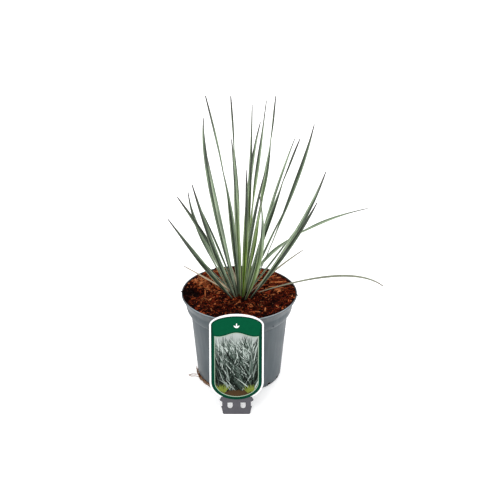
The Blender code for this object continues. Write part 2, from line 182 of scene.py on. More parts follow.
CRUMB_STRETCHES = ((0.7, 1.5), (0.7, 1.3), (0.5, 0.9))
CRUMB_ROUGHNESS = (0.75, 1.2)
CRUMB_SPREAD = 0.33
FIBRE_COUNT = 1500
FIBRE_SEED = 33
FIBRE_RING = (8.0, 70.0)
FIBRE_LIMIT = 75.5 * MM
FIBRE_POINTS = 9
FIBRE_FEWEST = 5
FIBRE_STRIDES = (0.9, 2.3)
FIBRE_LIFTS = (0.3, 2.2)
FIBRE_CLEAR = 0.15 * MM
FIBRE_RADII = (0.12, 0.30)
FIBRE_CURL = 0.28
FIBRE_WANDER = 0.22
FIBRE_SPREAD = 0.32
FIBRE_TONE = 0.10
STRAND_END = 0.45
ROOT_SIDES = 6
# The loose bits that stand out: where, heading, length, width, mm, tilt in degrees and tone
STUBS = (
    ((-45.2, -14.0), (0.0, 1.0), 11.0, 1.7, 86.0, 0.95),
    ((33.3, -52.0), (0.3, 1.0), 6.0, 1.9, 70.0, 1.00),
    ((19.0, -51.0), (1.0, 0.05), 12.5, 1.8, 4.0, 0.93),
    ((24.0, 2.5), (1.0, 0.3), 13.0, 3.2, 3.0, 0.05),
    ((16.0, -1.0), (1.0, -0.2), 11.0, 3.0, 4.0, 0.20),
)
STUB_THICKNESS = 0.9 * MM
STUB_LIFT = 0.6 * MM
# The bits that lie over the lip: where, heading, length, width, mm, and tone
RIM_BITS = (
    ((-74.5, -3.0), (1.0, -0.55), 10.0, 1.7, 0.02),
    ((-75.0, 2.5), (0.4, 1.0), 6.0, 1.2, 0.15),
    ((75.6, -9.5), (1.0, -0.9), 8.0, 1.6, 0.10),
    ((-30.0, 69.5), (1.0, 0.35), 9.0, 2.2, 0.45),
    ((12.0, 75.0), (1.0, -0.1), 10.0, 2.4, 0.55),
    ((40.0, 64.0), (1.0, -0.6), 9.0, 2.0, 0.40),
)
RIM_BIT_THICKNESS = 1.0 * MM
RIM_BIT_LIFT = 0.7 * MM
RIM_BIT_TILT = 0.05
CROWN_ROOT = ((1.3, -18.0), (-0.5, -22.5), (-3.2, -26.0), (-5.3, -29.3))
CROWN_ROOT_LIFT = 1.2 * MM
CROWN_ROOT_RADIUS = 0.45 * MM
FOOT_LOOP = (
    (-55.5, -13.0), (-60.0, -12.5), (-65.0, -12.0), (-70.0, -14.5),
    (-66.5, -17.5), (-61.0, -17.0), (-54.5, -19.5),
)
FOOT_LOOP_Z = 0.6 * MM
FOOT_LOOP_RADIUS = 0.5 * MM
FOOT_LOOP_TONE = 0.66
FOOT_FIBRES = 95
FOOT_FIBRE_TURNS = (radians(188.0), radians(229.0))
FOOT_FIBRE_POINTS = 8
FOOT_FIBRE_STEPS = (1.0, 2.4)      # degrees
FOOT_FIBRE_OUT = (-0.8, 1.8)
FOOT_FIBRE_HEIGHTS = (0.3, 4.2)
FOOT_FIBRE_LOWEST = 0.5 * MM
FOOT_FIBRE_RADII = (0.18, 0.45)
FOOT_FIBRE_DRIFT = ((0.05, 0.25), (0.0, 0.3))      # outward and upward at each step: mean and spread
# crumbs in the drain slots, at the darkest tone as painted shade inside them
SLOT_CRUMBS = 5
SLOT_CRUMB_SIZES = (0.9, 1.6)
SLOT_CRUMB_INSETS = (1.6, 2.6)
SLOT_CRUMB_HEIGHTS = (1.7, 2.3)
SLOT_CRUMB_SHAPE = (2.0, 1.6, 1.6)
SLOT_FILLED = 0.7

# Stem and blades, as in the model's source
CROWN_X = 2.5 * MM
STEM_RADIUS = 12.0 * MM
STEM_TOP_RADIUS = 6.5 * MM
STEM_FOOT_Z = 98.3 * MM
STEM_SHOULDER_Z = 113.0 * MM
STEM_TOP_Z = 118.0 * MM
STEM_SIDES = 48
ROOT_Z = 104.0 * MM
ROOT_RISE = 11.0 * MM
ROOT_LEANS = (35.0, 50.0)
ROOT_RADIUS = 2.5 * MM
ROOT_SPREAD = 5.0 * MM
ROOT_SPREAD_LEAN = 40.0
BLADE_STEPS = 64
BLADE_STRIPS = 10
BLADE_THICKNESS = 0.85 * MM
BLADE_EDGE = 0.28
BLADE_CHANNEL = 0.30
BLADE_CHANNEL_CURVE = 1.15
BLADE_POINT = 0.20
BLADE_POINT_FALL = 12.0      # how fast the thickness falls at the point
BLADE_POINT_THICKNESS = 0.7
BLADE_THICKENING = (1.05, 0.40)
# how sharply the painted light of one half turns to the painted shade of the other
BLADE_HALF_SWITCH = 3.0
OLD_LEAF_POINT = 0.46
OLD_LEAF_FULLNESS = 1.3      # dried blades curl to a rounder section
BLADE_BASE = 0.33
BLADE_BASE_TAPER = 1.3
BLADE_WIDEST = 0.50
BLADE_TAPER = 1.7
ROLL_SETTLED = 0.30

# Leaves, in millimetres and degrees: the tip's x, y and z, the bow upward, the sway to the left,
# the lead of the bend, the width, the roll in the middle and the twist from there to the tip
LEAVES = (
    (-42.4, 25, 387, 7, -3.6, 0.40, 7.2, -63, 235),
    (-43, -30, 376, -5.5, -6, 0.75, 6.0, 58, -20),
    (-38, -60, 336, 0.6, -2, 0.70, 4.8, 38, 0),
    (-11, 50, 379, 6, 0.3, 0.50, 7.4, -70, 320),
    (-9.3, -50, 356, 4, 1.2, 0.60, 5.2, 15, -20),
    (16.3, 40, 371, 6, -4, 0.40, 6.2, 0, 100),
    (28, 75, 336, 2, 6.2, 0.65, 5.6, 15, -20),
    (33.2, -10, 392, 1, -4, 0.55, 5.6, -32, 300),
    (47, 60, 376, 0, -4, 0.50, 6.4, -142, 520),
    (8, -90, 333, 1, 3, 0.50, 5.2, -10, 0),
    (74.5, 75, 315, 6, 0, 0.60, 4.2, 38, 0),
    (78.5, 40, 325, 3, 3.2, 0.60, 6.2, 15, 330),
    (93.4, 5, 356.6, -5, -2.6, 0.65, 6.2, -13, 195),
    (104, -60, 318, -7.6, 1.6, 0.63, 6.0, -75, 10),
    (93, -85, 289, -2.9, 3, 0.63, 5.4, -62, 0),
    (168, 15, 238, 31.5, 1, 0.35, 5.4, 31, 430),
    (-85.5, -90, 269.5, -0.8, -3.3, 0.50, 6.4, 80, -110),
    (-76, -50, 281, 7, -2, 0.40, 6.6, 72, 0),
    (-65.4, 0, 267, -6.8, 4, 0.70, 5.6, 33, 240),
    (-56.4, -75, 308, -1, -4.2, 0.38, 6.4, 48, 0),
    (24, -95, 302, -12, 8.8, 0.60, 6.4, -20, -50),
    (30, -75, 322, 2, -3.5, 0.50, 4.8, -25, 0),
)
OLD_LEAVES = (
    (199, 42, 108.8, 20, 2, 0.75, 2.4, 45, 20),
    (85, 20, 175, 3, 0, 0.50, 1.9, 30, 20),
    (-76, 40, 141, 1, 1, 0.60, 1.7, -40, 30),
    (-35, 25, 131, 0, 0, 0.50, 1.7, -40, 20),
    (14, 50, 152, -3, 2, 0.50, 2.4, 10, 20),
    (-12, 44, 140, 3, 0, 0.50, 2.2, 0, 30),
)
OLD_LEAF_DRYNESS = (0.30, 0.40, 0.58, 1.0, 0.45, 0.50)
OLD_LEAF_LOOK = (0.3, 0.0, 0.0)
# For each of LEAVES: how pale it is, how yellow its lower part is, and how much paler its right half is, as
# painted light on one half of the blade and painted shade on the other
LEAF_LOOKS = (
    (0.40, 0.0, 0.24), (0.42, 0.0, -0.14), (0.76, 0.0, -0.16), (0.60, 0.1, -0.24), (0.52, 0.4, 0.24),
    (0.42, 1.0, -0.26), (0.56, 1.0, 0.24), (0.53, 0.9, 0.26), (0.58, 0.5, -0.22), (0.12, 1.0, 0.26),
    (0.74, 0.0, -0.18), (0.32, 0.0, -0.26), (0.38, 0.0, 0.18), (0.54, 0.0, -0.26), (0.22, 0.0, 0.14),
    (0.67, 0.0, 0.15), (0.22, 0.0, 0.18), (0.30, 0.0, -0.22), (0.51, 0.0, 0.22), (0.32, 0.0, 0.22),
    (0.48, 0.4, 0.22), (0.33, 0.3, -0.14),
)
LOOKS_SEED = 7
BACK_TIPS = (
    (-67, 65, 156), (-57, 35, 205), (-55, 80, 213), (-40, 105, 215), (-17, 95, 226), (-1, 120, 171),
    (14, 130, 182), (21, 110, 229), (38, 120, 243), (50, 110, 217), (69, 90, 216), (79, 75, 181),
)
BACK_SEED = 5
BACK_FIRST_SAG = 4.0      # mm, which keeps the lowest back leaf behind the one in front of it
BACK_BOWS = (-3.0, 3.0)
BACK_LEAD = 0.5
BACK_WIDTHS = (3.8, 4.6)
BACK_ROLLS = (-25.0, 25.0)
BACK_TWISTS = (-30.0, 30.0)
BACK_PALENESS = (0.15, 0.55)
# painted light on one half of each back leaf and painted shade on the other
BACK_PAINTED_SHADE_CONTRASTS = (-0.2, 0.2)

# Label
LABEL_LENGTH = 135.0 * MM
LABEL_HALF_WIDTH = 34.8 * MM
LABEL_THICKNESS = 0.7 * MM
LABEL_X = -3.5 * MM
LABEL_FOOT_Y = -106.0 * MM
LABEL_SIDE_TOP = 120.0 * MM
LABEL_SIDE_FOOT = 44.0 * MM
LABEL_SHOULDER = 24.0 * MM
TAB_SHOULDER_HALF = 20.5 * MM
TAB_END_HALF = 18.0 * MM
TAB_CORNER = 2.6 * MM
TAB_CORNER_STEPS = 8
TAB_EDGE = (
    (19.2, 8.4), (20.0, 10.4), (18.6, 11.4), (18.6, 16.8), (21.8, 18.8), (21.8, 20.8), (20.2, 22.0),
)      # half width and height of the tab's two teeth and the notch between them, mm
WINDOW_CENTRE = 8.4 * MM
WINDOW_HALF_WIDTH = 3.2 * MM
WINDOW_TOP = 15.8 * MM
WINDOW_FOOT = 8.0 * MM
WINDOW_STEPS = 12
FIT_GAP = 0.3 * MM
WELD = 0.002 * MM
ARC_STEPS = 32

# The label's print, as thin layers over the card. Heights are over the middle of the card's thickness
CARD_FACE = 0.5 * LABEL_THICKNESS
PRINT_STEP = 0.03 * MM
FRAME_INSET = 2.2 * MM
FRAME_TOP_INSET = 3.0 * MM
FRAME_LINE = 0.4 * MM
FRAME_FOOT = 20.2 * MM
PANEL_HALF_WIDTH = 27.7 * MM
PANEL_FOOT = 24.6 * MM
PANEL_TOP = 107.0 * MM
TRIM_WIDTH = 0.7 * MM
WAVE_HEIGHT = 2.6 * MM
WAVE_BENDS = 1.2
HEADER_GAP = 1.6 * MM
HEADER_GROW = (3.2 * MM, 1.2 * MM)      # past the panel's side, at its arch and at its wave
PICTURE_SPAN = (24.0 * MM, 118.0 * MM)      # heights between which the picture's colours change
PICTURE_MOTTLE = 16.0 * MM
SPRIG_SEED = 3
# The sprigs' rows: height of their feet and of their leaves, mm, how many there are, and their tone
SPRIG_ROWS = (
    (82.0, 30.0, 9, 0.78),
    (66.0, 34.0, 8, 0.58),
    (48.0, 38.0, 8, 0.46),
    (32.0, 38.0, 7, 0.42),
)
SPRIG_MARGIN = 3.0 * MM
SPRIG_SHIFTS = ((-1.0, 1.0), (-1.5, 1.5))
SPRIG_LEAVES = 13
SPRIG_FAN = radians(46.0)
SPRIG_FOOT = 1.5 * MM
SPRIG_LENGTHS = (0.6, 1.0)
SPRIG_DROOP = 0.25
SPRIG_WIDTHS = (0.8, 1.6)
SPRIG_SPREAD = 0.30
TUFT_FEET = (-21.0, -16.0, 15.0, 20.0)      # mm, the low bright tufts at the bottom
TUFT_LEAVES = 9
TUFT_FAN = radians(34.0)
TUFT_FOOT = 1.2 * MM
TUFT_FOOT_Y = 27.0 * MM
TUFT_FOOT_RISE = 0.16 * MM      # for each millimetre to the side
TUFT_LENGTHS = (7.0, 13.0)
TUFT_WIDTH = 1.1 * MM
FAN_WANDER = 0.05
PRINTED_LEAF = ((0.0, 0.45), (0.35, 1.0), (0.7, 0.7), (1.0, 0.06))      # shares of its length and width
PRINTED_LEAF_BEND = 0.12
PRINTED_LEAF_THICKNESS = 0.02 * MM
PRINTED_LEAF_STEP = 0.0012 * MM
SPROUT_LEAVES = ((-48.0, 5.0), (0.0, 6.6), (48.0, 5.0))      # lean in degrees and length, mm
SPROUT_WIDTH = 1.7 * MM
SPROUT_FOOT = (0.0, 116.5 * MM)
SPROUT_STEPS = 12
SPROUT_FULLNESS = 0.8

# Colours as a display shows them, 0 to 255. A pair holds the two ends of a mottle
POT_GREYS = ((55, 63, 68), (70, 79, 84))
POT_STREAK = (88, 98, 102)
POT_DUST = (116, 98, 84)
# painted highlight for the top of the front lip
POT_LIP_HIGHLIGHT = (140, 150, 156)
POT_MARK = (40, 42, 46)
PIP_GREYS = ((24, 30, 40), (44, 52, 60))
BARK_STOPS = (
    (0.00, (7, 1, 1)),
    (0.32, (40, 8, 4)),
    (0.56, (82, 21, 8)),
    (0.78, (126, 46, 17)),
    (0.90, (160, 74, 31)),
    (1.00, (184, 120, 76)),
)
STRAW_STOPS = (
    (0.00, (66, 38, 20)),
    (0.45, (132, 84, 48)),
    (0.75, (140, 116, 96)),
    (1.00, (186, 160, 132)),
)
LEAF_STOPS = (
    (0.00, (26, 33, 22)),
    (0.25, (48, 58, 44)),
    (0.50, (88, 104, 84)),
    (0.74, (132, 148, 124)),
    (1.00, (172, 186, 160)),
)
LEAF_CLOUD = (84, 86, 86)
LEAF_YOUNG = ((54, 78, 10), (146, 174, 66))
LEAF_ROOT = (96, 104, 50)
# painted shade in the fold of the channel
LEAF_KEEL_SHADE = (30, 38, 24)
LEAF_MARGIN = (158, 172, 142)
LEAF_FOOT_SHADE = (14, 16, 8)
LEAF_UPPER = (58, 61, 55)
LEAF_TIP = (56, 48, 50)
OLD_GREENS = ((74, 82, 70), (142, 148, 130))
OLD_STRAWS = ((158, 128, 98), (226, 204, 178))
OLD_ROOT = (150, 112, 80)
OLD_TIP = (116, 106, 98)
STEM_BROWNS = ((16, 8, 4), (74, 48, 26))
SPRIG_STOPS = (
    (0.00, (8, 12, 10)),
    (0.35, (34, 44, 38)),
    (0.68, (80, 94, 86)),
    (1.00, (184, 194, 188)),
)
PICTURE_STOPS = (
    (0.00, (70, 52, 34)),
    (0.12, (62, 48, 30)),
    (0.20, (16, 20, 14)),
    (0.60, (30, 38, 32)),
    (0.86, (92, 100, 94)),
    (1.00, (168, 174, 172)),
)
INKS = {
    "label_card_plastic": ((78, 77, 82), (88, 87, 92)),
    "label_white_ink": ((236, 236, 236), (246, 246, 246)),
    "label_dark_ink": ((1, 30, 22), (3, 36, 26)),
    "label_green_ink": ((1, 52, 36), (3, 60, 42)),
    "label_header_ink": ((1, 70, 44), (4, 78, 50)),
    "label_cream_ink": ((150, 172, 150), (164, 184, 162)),
    "label_bright_ink": ((92, 104, 34), (126, 138, 60)),
}
FLOOR_WHITES = ((246, 246, 247), (250, 250, 250))

# Textures: how a pattern is stretched along x, y and z, or across and along a leaf, and how strong it is
EVEN = (1.0, 1.0, 1.0)
TALL = (1.0, 1.0, 0.06)
UPRIGHT = (1.0, 1.0, 0.2)
SQUAT = (1.0, 1.0, 2.0)
VEINS = (26.0, 2.0, 1.0)
BROAD_VEINS = (6.0, 5.0, 1.0)
OLD_VEINS = (20.0, 6.0, 1.0)
BARK_STREAKS = (-0.16, 0.14)
BARK_RELIEF = (0.7, 0.3 * MM)      # a bump's strength and its distance
STRAW_STREAKS = (-0.15, 0.15)
STRAW_RELIEF = (0.6, 0.2 * MM)
PRINT_RELIEF = (0.08, 0.05 * MM)
UP = Vector((0.0, 0.0, 1.0))


def clamp(value, low, high):
    return min(max(value, low), high)


def polar(radius, turn):
    return radius * cos(turn), radius * sin(turn)


def drawn(draw, bounds):
    """A length in metres, drawn between two bounds in millimetres."""
    return draw.uniform(*bounds) * MM


def colour(red, green, blue):
    """A display colour, 0 to 255, as the linear colour that a shader wants."""
    linear = []
    for level in (red, green, blue):
        share = level / 255.0
        linear.append(share / 12.92 if share <= 0.04045 else ((share + 0.055) / 1.055) ** 2.4)
    return (*linear, 1.0)


# Materials

class Paint:
    """A material being mixed. What adds a node gives back its output."""

    def __init__(self, name, roughness, specular):
        self.material = bpy.data.materials.new(name)
        self.material.use_nodes = True
        self.tree = self.material.node_tree
        self.shader = self.tree.nodes["Principled BSDF"]
        self.put("Roughness", roughness)
        self.put("Specular IOR Level", specular)

    def feed(self, socket, value):
        """Feeds a socket with another node's output, a display colour or a number."""
        if isinstance(value, bpy.types.NodeSocket):
            self.tree.links.new(value, socket)
        else:
            socket.default_value = colour(*value) if isinstance(value, tuple) else value

    def put(self, name, value):
        self.feed(self.shader.inputs[name], value)

    def add(self, kind, inputs, output, **settings):
        made = self.tree.nodes.new("ShaderNode" + kind)
        for name, value in settings.items():
            setattr(made, name, value)
        for key, value in inputs.items():
            self.feed(made.inputs[key], value)
        return made.outputs[output]

    def place(self, source, stretch=EVEN):
        """Metres over the object, or with UV a leaf's map: across the blade, and along it from its root."""
        mapping = self.tree.nodes.new("ShaderNodeMapping")
        mapping.inputs["Scale"].default_value = stretch
        self.feed(mapping.inputs["Vector"], self.add("TexCoord", {}, source))
        return mapping.outputs["Vector"]

    def axis(self, name, source="Object"):
        return self.add("SeparateXYZ", {"Vector": self.place(source)}, name)

    def attribute(self, name):
        return self.add("Attribute", {}, "Fac", attribute_name=name)

    def grain(self, scale, detail=3.0, roughness=0.5, stretch=EVEN, source="Object"):
        vector = self.place(source, stretch)
        inputs = {"Vector": vector, "Scale": scale, "Detail": detail, "Roughness": roughness}
        return self.add("TexNoise", inputs, "Fac")

    def remap(self, value, start, end, low=0.0, high=1.0):
        inputs = {"Value": value, "From Min": start, "From Max": end, "To Min": low, "To Max": high}
        return self.add("MapRange", inputs, "Result", interpolation_type="SMOOTHSTEP")

    def combine(self, operation, first, second):
        return self.add("Math", {0: first, 1: second}, "Value", operation=operation)

    def plus(self, first, second):
        return self.combine("ADD", first, second)

    def times(self, first, second):
        return self.combine("MULTIPLY", first, second)

    def blend(self, factor, low, high):
        """Two colours mixed. The node's colour inputs are its numbers 6 and 7, and its colour output is 2."""
        return self.add("Mix", {"Factor": factor, 6: low, 7: high}, 2, data_type="RGBA")

    def coat(self, base, *coats):
        """Colours laid over a base in turn, each by its own mask."""
        for mask, shade in coats:
            base = self.blend(mask, base, shade)
        return base

    def ramp(self, factor, stops):
        made = self.tree.nodes.new("ShaderNodeValToRGB")
        elements = made.color_ramp.elements
        while len(elements) < len(stops):
            elements.new(0.5)
        for element, (position, shade) in zip(elements, stops):
            element.position = position
            element.color = colour(*shade)
        self.feed(made.inputs["Fac"], factor)
        return made.outputs["Color"]

    def bump(self, height, strength, distance):
        inputs = {"Height": height, "Strength": strength, "Distance": distance}
        self.put("Normal", self.add("Bump", inputs, "Normal"))


def pot_material():
    """Satin grey plastic: flow streaks, fine grain, dust by the lip and the foot, and a painted highlight
    along the top of the front lip.
    """
    paint = Paint("pot_plastic", 0.46, 0.32)
    streaks = paint.grain(260.0, stretch=TALL)
    clouds = paint.grain(28.0, 4.0)
    height = paint.axis("Z")
    foot = paint.remap(height, *FOOT_DUST, 1.0, 0.0)
    lip = paint.remap(height, *LIP_DUST)
    specks = paint.remap(paint.grain(230.0, 6.0, 0.7), 0.50, 0.68)
    dust = paint.times(paint.combine("MAXIMUM", foot, lip), specks)
    # painted highlight along the top of the lip, strongest at the front
    front = paint.remap(paint.axis("Y"), *LIP_HIGHLIGHT_FRONT, 0.75, 0.0)
    paint.put("Base Color", paint.coat(
        paint.blend(clouds, *POT_GREYS),
        (paint.remap(streaks, 0.35, 0.75, 0.0, 0.35), POT_STREAK),
        (paint.times(dust, 0.55), POT_DUST),
        (paint.times(front, paint.remap(height, *LIP_HIGHLIGHT_BAND)), POT_LIP_HIGHLIGHT),
        (paint.remap(paint.grain(620.0, 2.0), 0.72, 0.78, 0.0, 0.6), POT_MARK),
    ))
    paint.put("Roughness", paint.remap(clouds, 0.3, 0.7, 0.38, 0.54))
    fine = paint.times(paint.grain(2600.0, 2.0), 0.35)
    paint.bump(paint.plus(streaks, fine), 0.25, 0.12 * MM)
    return paint.material


def pip_material():
    """The moulding marks: small dark dots of the pot's plastic."""
    paint = Paint("pot_pip", 0.5, 0.2)
    paint.put("Base Color", paint.blend(paint.grain(900.0), *PIP_GREYS))
    return paint.material


def soil_material():
    """Damp coir and bark dust, mostly near black as painted shade for the gaps between the loose pieces, and
    red-brown in patches.
    """
    paint = Paint("soil_mix", 0.95, 0.04)
    clods = paint.grain(330.0, 6.0, 0.72)
    tone = paint.plus(paint.times(clods, 0.9), paint.times(paint.grain(55.0), 0.3))
    # most of the mix falls at the ramp's dark end: painted shade in the gaps between chips and crumbs
    paint.put("Base Color", paint.ramp(paint.remap(tone, 0.56, 1.40), BARK_STOPS[:-1]))
    paint.bump(paint.grain(1500.0, 5.0, 0.7), 0.9, 0.8 * MM)
    return paint.material


def mix_material(name, roughness, stops=BARK_STOPS, streaking=BARK_STREAKS, relief=BARK_RELIEF,
                 stretch=SQUAT):
    """Chips, crumbs and fibres: each piece has its own tone, with streaks of a darker and a paler one."""
    paint = Paint(name, roughness, 0.04)
    streaks = paint.grain(900.0, 4.0, 0.65, stretch)
    tone = paint.plus(paint.attribute("tone"), paint.remap(streaks, 0.3, 0.7, *streaking))
    paint.put("Base Color", paint.ramp(tone, stops))
    paint.bump(streaks, *relief)
    return paint.material


def straw_material():
    """Dry coir away from the damp mix: dull brown to grey straw."""
    return mix_material("dry_coir", 0.9, STRAW_STOPS, STRAW_STREAKS, STRAW_RELIEF, EVEN)


def leaf_material():
    """A waxy blade: painted light on one half and painted shade on the other, a painted shade line along its
    keel, pale margins, fine veins, a yellow-green root, painted shade between the blades' feet and a grey
    tip.
    """
    paint = Paint("leaf_green", 0.55, 0.10)
    share = paint.axis("Y", "UV")
    centre = paint.combine("ABSOLUTE", paint.combine("SUBTRACT", paint.axis("X", "UV"), 0.5), 0.0)
    # paleness, with painted light and painted shade on the blade's two halves
    light = paint.attribute("light")
    veins = paint.grain(1.0, 3.0, 0.6, VEINS, "UV")
    broad = paint.grain(1.0, 2.0, 0.5, BROAD_VEINS, "UV")
    clouds = paint.grain(42.0)
    level = paint.plus(light, paint.remap(veins, 0.30, 0.70, -0.20, 0.20))
    level = paint.plus(level, paint.remap(broad, 0.34, 0.66, -0.26, 0.26))
    young = paint.times(paint.remap(share, 0.22, 0.75, 0.95, 0.0), paint.attribute("young"))
    # painted shade between the blades' feet, near their margins
    foot_shade = paint.times(paint.remap(share, 0.03, 0.17, 0.85, 0.0), paint.remap(centre, 0.20, 0.38))
    upper = paint.times(paint.remap(share, 0.55, 0.82, 0.0, 0.6), paint.remap(light, 0.35, 0.60, 1.0, 0.1))
    paint.put("Base Color", paint.coat(
        paint.ramp(level, LEAF_STOPS),
        (paint.remap(clouds, 0.48, 0.66, 0.0, 0.40), LEAF_CLOUD),
        (young, paint.blend(paint.remap(level, 0.1, 0.7), *LEAF_YOUNG)),
        (paint.remap(share, 0.0, 0.10, 0.45, 0.0), LEAF_ROOT),
        # painted shade along the fold of the channel
        (paint.remap(centre, 0.0, 0.05, 0.55, 0.0), LEAF_KEEL_SHADE),
        (paint.remap(centre, 0.38, 0.45, 0.0, 0.8), LEAF_MARGIN),
        (foot_shade, LEAF_FOOT_SHADE),
        (upper, LEAF_UPPER),
        (paint.remap(share, 0.82, 0.98, 0.0, 0.8), LEAF_TIP),
    ))
    paint.put("Roughness", paint.remap(clouds, 0.3, 0.7, 0.46, 0.64))
    paint.bump(veins, 0.35, 0.18 * MM)
    return paint.material


def old_leaf_material():
    """A drying blade: grey-green that turns to straw, then brown at its point."""
    paint = Paint("leaf_old", 0.65, 0.12)
    share = paint.axis("Y", "UV")
    veins = paint.grain(1.0, 4.0, 0.65, OLD_VEINS, "UV")
    streaks = paint.remap(veins, 0.35, 0.65)
    paint.put("Base Color", paint.coat(
        paint.blend(streaks, *OLD_GREENS),
        (paint.remap(paint.attribute("dry"), 0.2, 0.9), paint.blend(streaks, *OLD_STRAWS)),
        (paint.remap(share, 0.0, 0.30, 0.35, 0.0), OLD_ROOT),
        (paint.remap(share, 0.82, 0.95, 0.0, 0.8), OLD_TIP),
    ))
    paint.bump(veins, 0.5, 0.2 * MM)
    return paint.material


def stem_material():
    """The stem's foot: brown, papery and streaked from top to bottom."""
    paint = Paint("stem_bark", 0.85, 0.05)
    streaks = paint.grain(900.0, 4.0, 0.65, UPRIGHT)
    paint.put("Base Color", paint.blend(paint.remap(streaks, 0.35, 0.65), *STEM_BROWNS))
    paint.bump(streaks, 0.6, 0.3 * MM)
    return paint.material


def print_material(name):
    """Ink on plastic: even, with a very faint mottle and a fine grain."""
    paint = Paint(name, 0.55, 0.02)
    paint.put("Base Color", paint.blend(paint.grain(240.0, 4.0), *INKS[name]))
    paint.bump(paint.grain(3000.0, 2.0), *PRINT_RELIEF)
    return paint.material


def sprig_material():
    """The printed leaves, each with its own tone."""
    paint = Paint("label_sprig_ink", 0.6, 0.02)
    paint.put("Base Color", paint.ramp(paint.attribute("tone"), SPRIG_STOPS))
    paint.bump(paint.grain(3000.0, 2.0), *PRINT_RELIEF)
    return paint.material


def picture_material():
    """The label's picture behind the sprigs: a pale sky that darkens into undergrowth, then brown ground."""
    paint = Paint("label_picture_ink", 0.6, 0.02)
    level = paint.plus(paint.axis("Z"), paint.times(paint.grain(90.0, 4.0), PICTURE_MOTTLE))
    paint.put("Base Color", paint.ramp(paint.remap(level, *PICTURE_SPAN), PICTURE_STOPS))
    return paint.material


def floor_material():
    """A pale floor with a faint glow, which keeps it as light as the paper behind the object."""
    paint = Paint("floor", 0.85, 0.2)
    pale = paint.blend(paint.grain(3.0, 2.0), *FLOOR_WHITES)
    paint.put("Base Color", pale)
    paint.put("Emission Color", pale)
    paint.put("Emission Strength", FLOOR_GLOW)
    return paint.material


# Making pieces

def linked(name, data):
    """A new object in the scene."""
    made = bpy.data.objects.new(name, data)
    bpy.context.scene.collection.objects.link(made)
    return made


def new_piece(name, mesh, material, smooth_angle=None):
    """A piece of the object, riding on its one body."""
    mesh.name = name
    mesh.materials.clear()
    mesh.materials.append(material)
    mesh.shade_smooth()
    if smooth_angle:
        mesh.set_sharp_from_angle(angle=radians(smooth_angle))
    made = linked(name, mesh)
    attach(made, "root")
    return made


def mesh_of(verts, faces, values=None):
    """A mesh with any values at its points. The pairs in leaf_map, across and along, become a UV map."""
    mesh = bpy.data.meshes.new("mesh")
    mesh.from_pydata(verts, [], faces)
    for name, numbers in (values or {}).items():
        if name == "leaf_map":
            corners = mesh.uv_layers.new(name=name).data
            for loop in mesh.loops:
                corners[loop.index].uv = numbers[loop.vertex_index]
        else:
            mesh.attributes.new(name, "FLOAT", "POINT").data.foreach_set("value", numbers)
    return mesh


class Heap:
    """Many closed bodies that become one mesh, with values at their points."""

    def __init__(self):
        self.verts = []
        self.faces = []
        self.values = {}

    def add(self, points, polygons, **values):
        """One body. A value is a number for all of it, or a list with one entry for each point."""
        start = len(self.verts)
        self.verts += points
        self.faces += [tuple(start + k for k in polygon) for polygon in polygons]
        for name, value in values.items():
            entries = value if isinstance(value, list) else [value] * len(points)
            self.values.setdefault(name, []).extend(entries)

    def mesh(self):
        return mesh_of(self.verts, self.faces, self.values)


def baked(shape):
    """The mesh of a finished bmesh."""
    mesh = bpy.data.meshes.new("mesh")
    shape.to_mesh(mesh)
    shape.free()
    return mesh


def evaluated_mesh(source):
    graph = bpy.context.evaluated_depsgraph_get()
    graph.update()
    return bpy.data.meshes.new_from_object(source.evaluated_get(graph))


def arc(centre_x, centre_y, radius_x, radius_y, start, end, steps=ARC_STEPS):
    """Points along part of an ellipse, both ends kept, angles in degrees."""
    turns = [radians(start + (end - start) * i / steps) for i in range(steps + 1)]
    return [(centre_x + radius_x * cos(t), centre_y + radius_y * sin(t)) for t in turns]


def lathed(outline, steps):
    """A closed mesh from an outline of (radius, height) that starts and ends on the axis."""
    verts = [(0.0, 0.0, outline[0][1]), (0.0, 0.0, outline[-1][1])]
    rings = outline[1:-1]
    for radius, z in rings:
        verts += [(*polar(radius, tau * i / steps), z) for i in range(steps)]
    faces = []
    last = 2 + (len(rings) - 1) * steps
    for i in range(steps):
        j = (i + 1) % steps
        faces.append((0, 2 + i, 2 + j))
        faces.append((1, last + j, last + i))
        for ring in range(len(rings) - 1):
            a = 2 + ring * steps
            b = a + steps
            faces.append((a + i, b + i, b + j, a + j))
    return verts, faces


def loft_faces(rings, size, capped=True):
    """Faces of a body whose points come in rings of one size: its sides, and its ends where it is capped."""
    faces = []
    last = (rings - 1) * size
    for a in range(0, last, size):
        for k in range(size):
            n = (k + 1) % size
            faces.append((a + k, a + n, a + size + n, a + size + k))
    ends = [tuple(range(size))[::-1], tuple(range(last, last + size))]
    return faces + ends if capped else faces


def outward(mesh, weld=0.0):
    """Turns a mesh's faces outward, after any welding of its doubled points."""
    shape = bmesh.new()
    shape.from_mesh(mesh)
    if weld:
        bmesh.ops.remove_doubles(shape, verts=shape.verts, dist=weld)
    bmesh.ops.recalc_face_normals(shape, faces=shape.faces)
    shape.to_mesh(mesh)
    shape.free()
    return mesh


# Pot

def wall_radius(z):
    """Outer radius of the pot at a height, under its lip."""
    if z >= FLARE_FOOT_Z:
        up = (z - FLARE_FOOT_Z) / (LIP_FACE_Z - FLARE_FOOT_Z)
        return FLARE_FOOT_RADIUS + (RIM_RADIUS - FLARE_FOOT_RADIUS) * min(up, 1.0)
    if z >= COLLAR_FOOT_Z:
        down = (FLARE_FOOT_Z - z) / (FLARE_FOOT_Z - COLLAR_FOOT_Z)
        return FLARE_FOOT_RADIUS - (FLARE_FOOT_RADIUS - COLLAR_FOOT_RADIUS) * down ** COLLAR_CURVE
    return BASE_RADIUS + (COLLAR_FOOT_RADIUS - BASE_RADIUS) * z / COLLAR_FOOT_Z


def collar_profile(inset):
    """The collar and its flare, from their foot up, as (radius, height)."""
    rise = LIP_FACE_Z - COLLAR_FOOT_Z
    heights = [COLLAR_FOOT_Z + rise * i / COLLAR_RINGS for i in range(COLLAR_RINGS + 1)]
    return [(wall_radius(z) - inset, z) for z in heights]


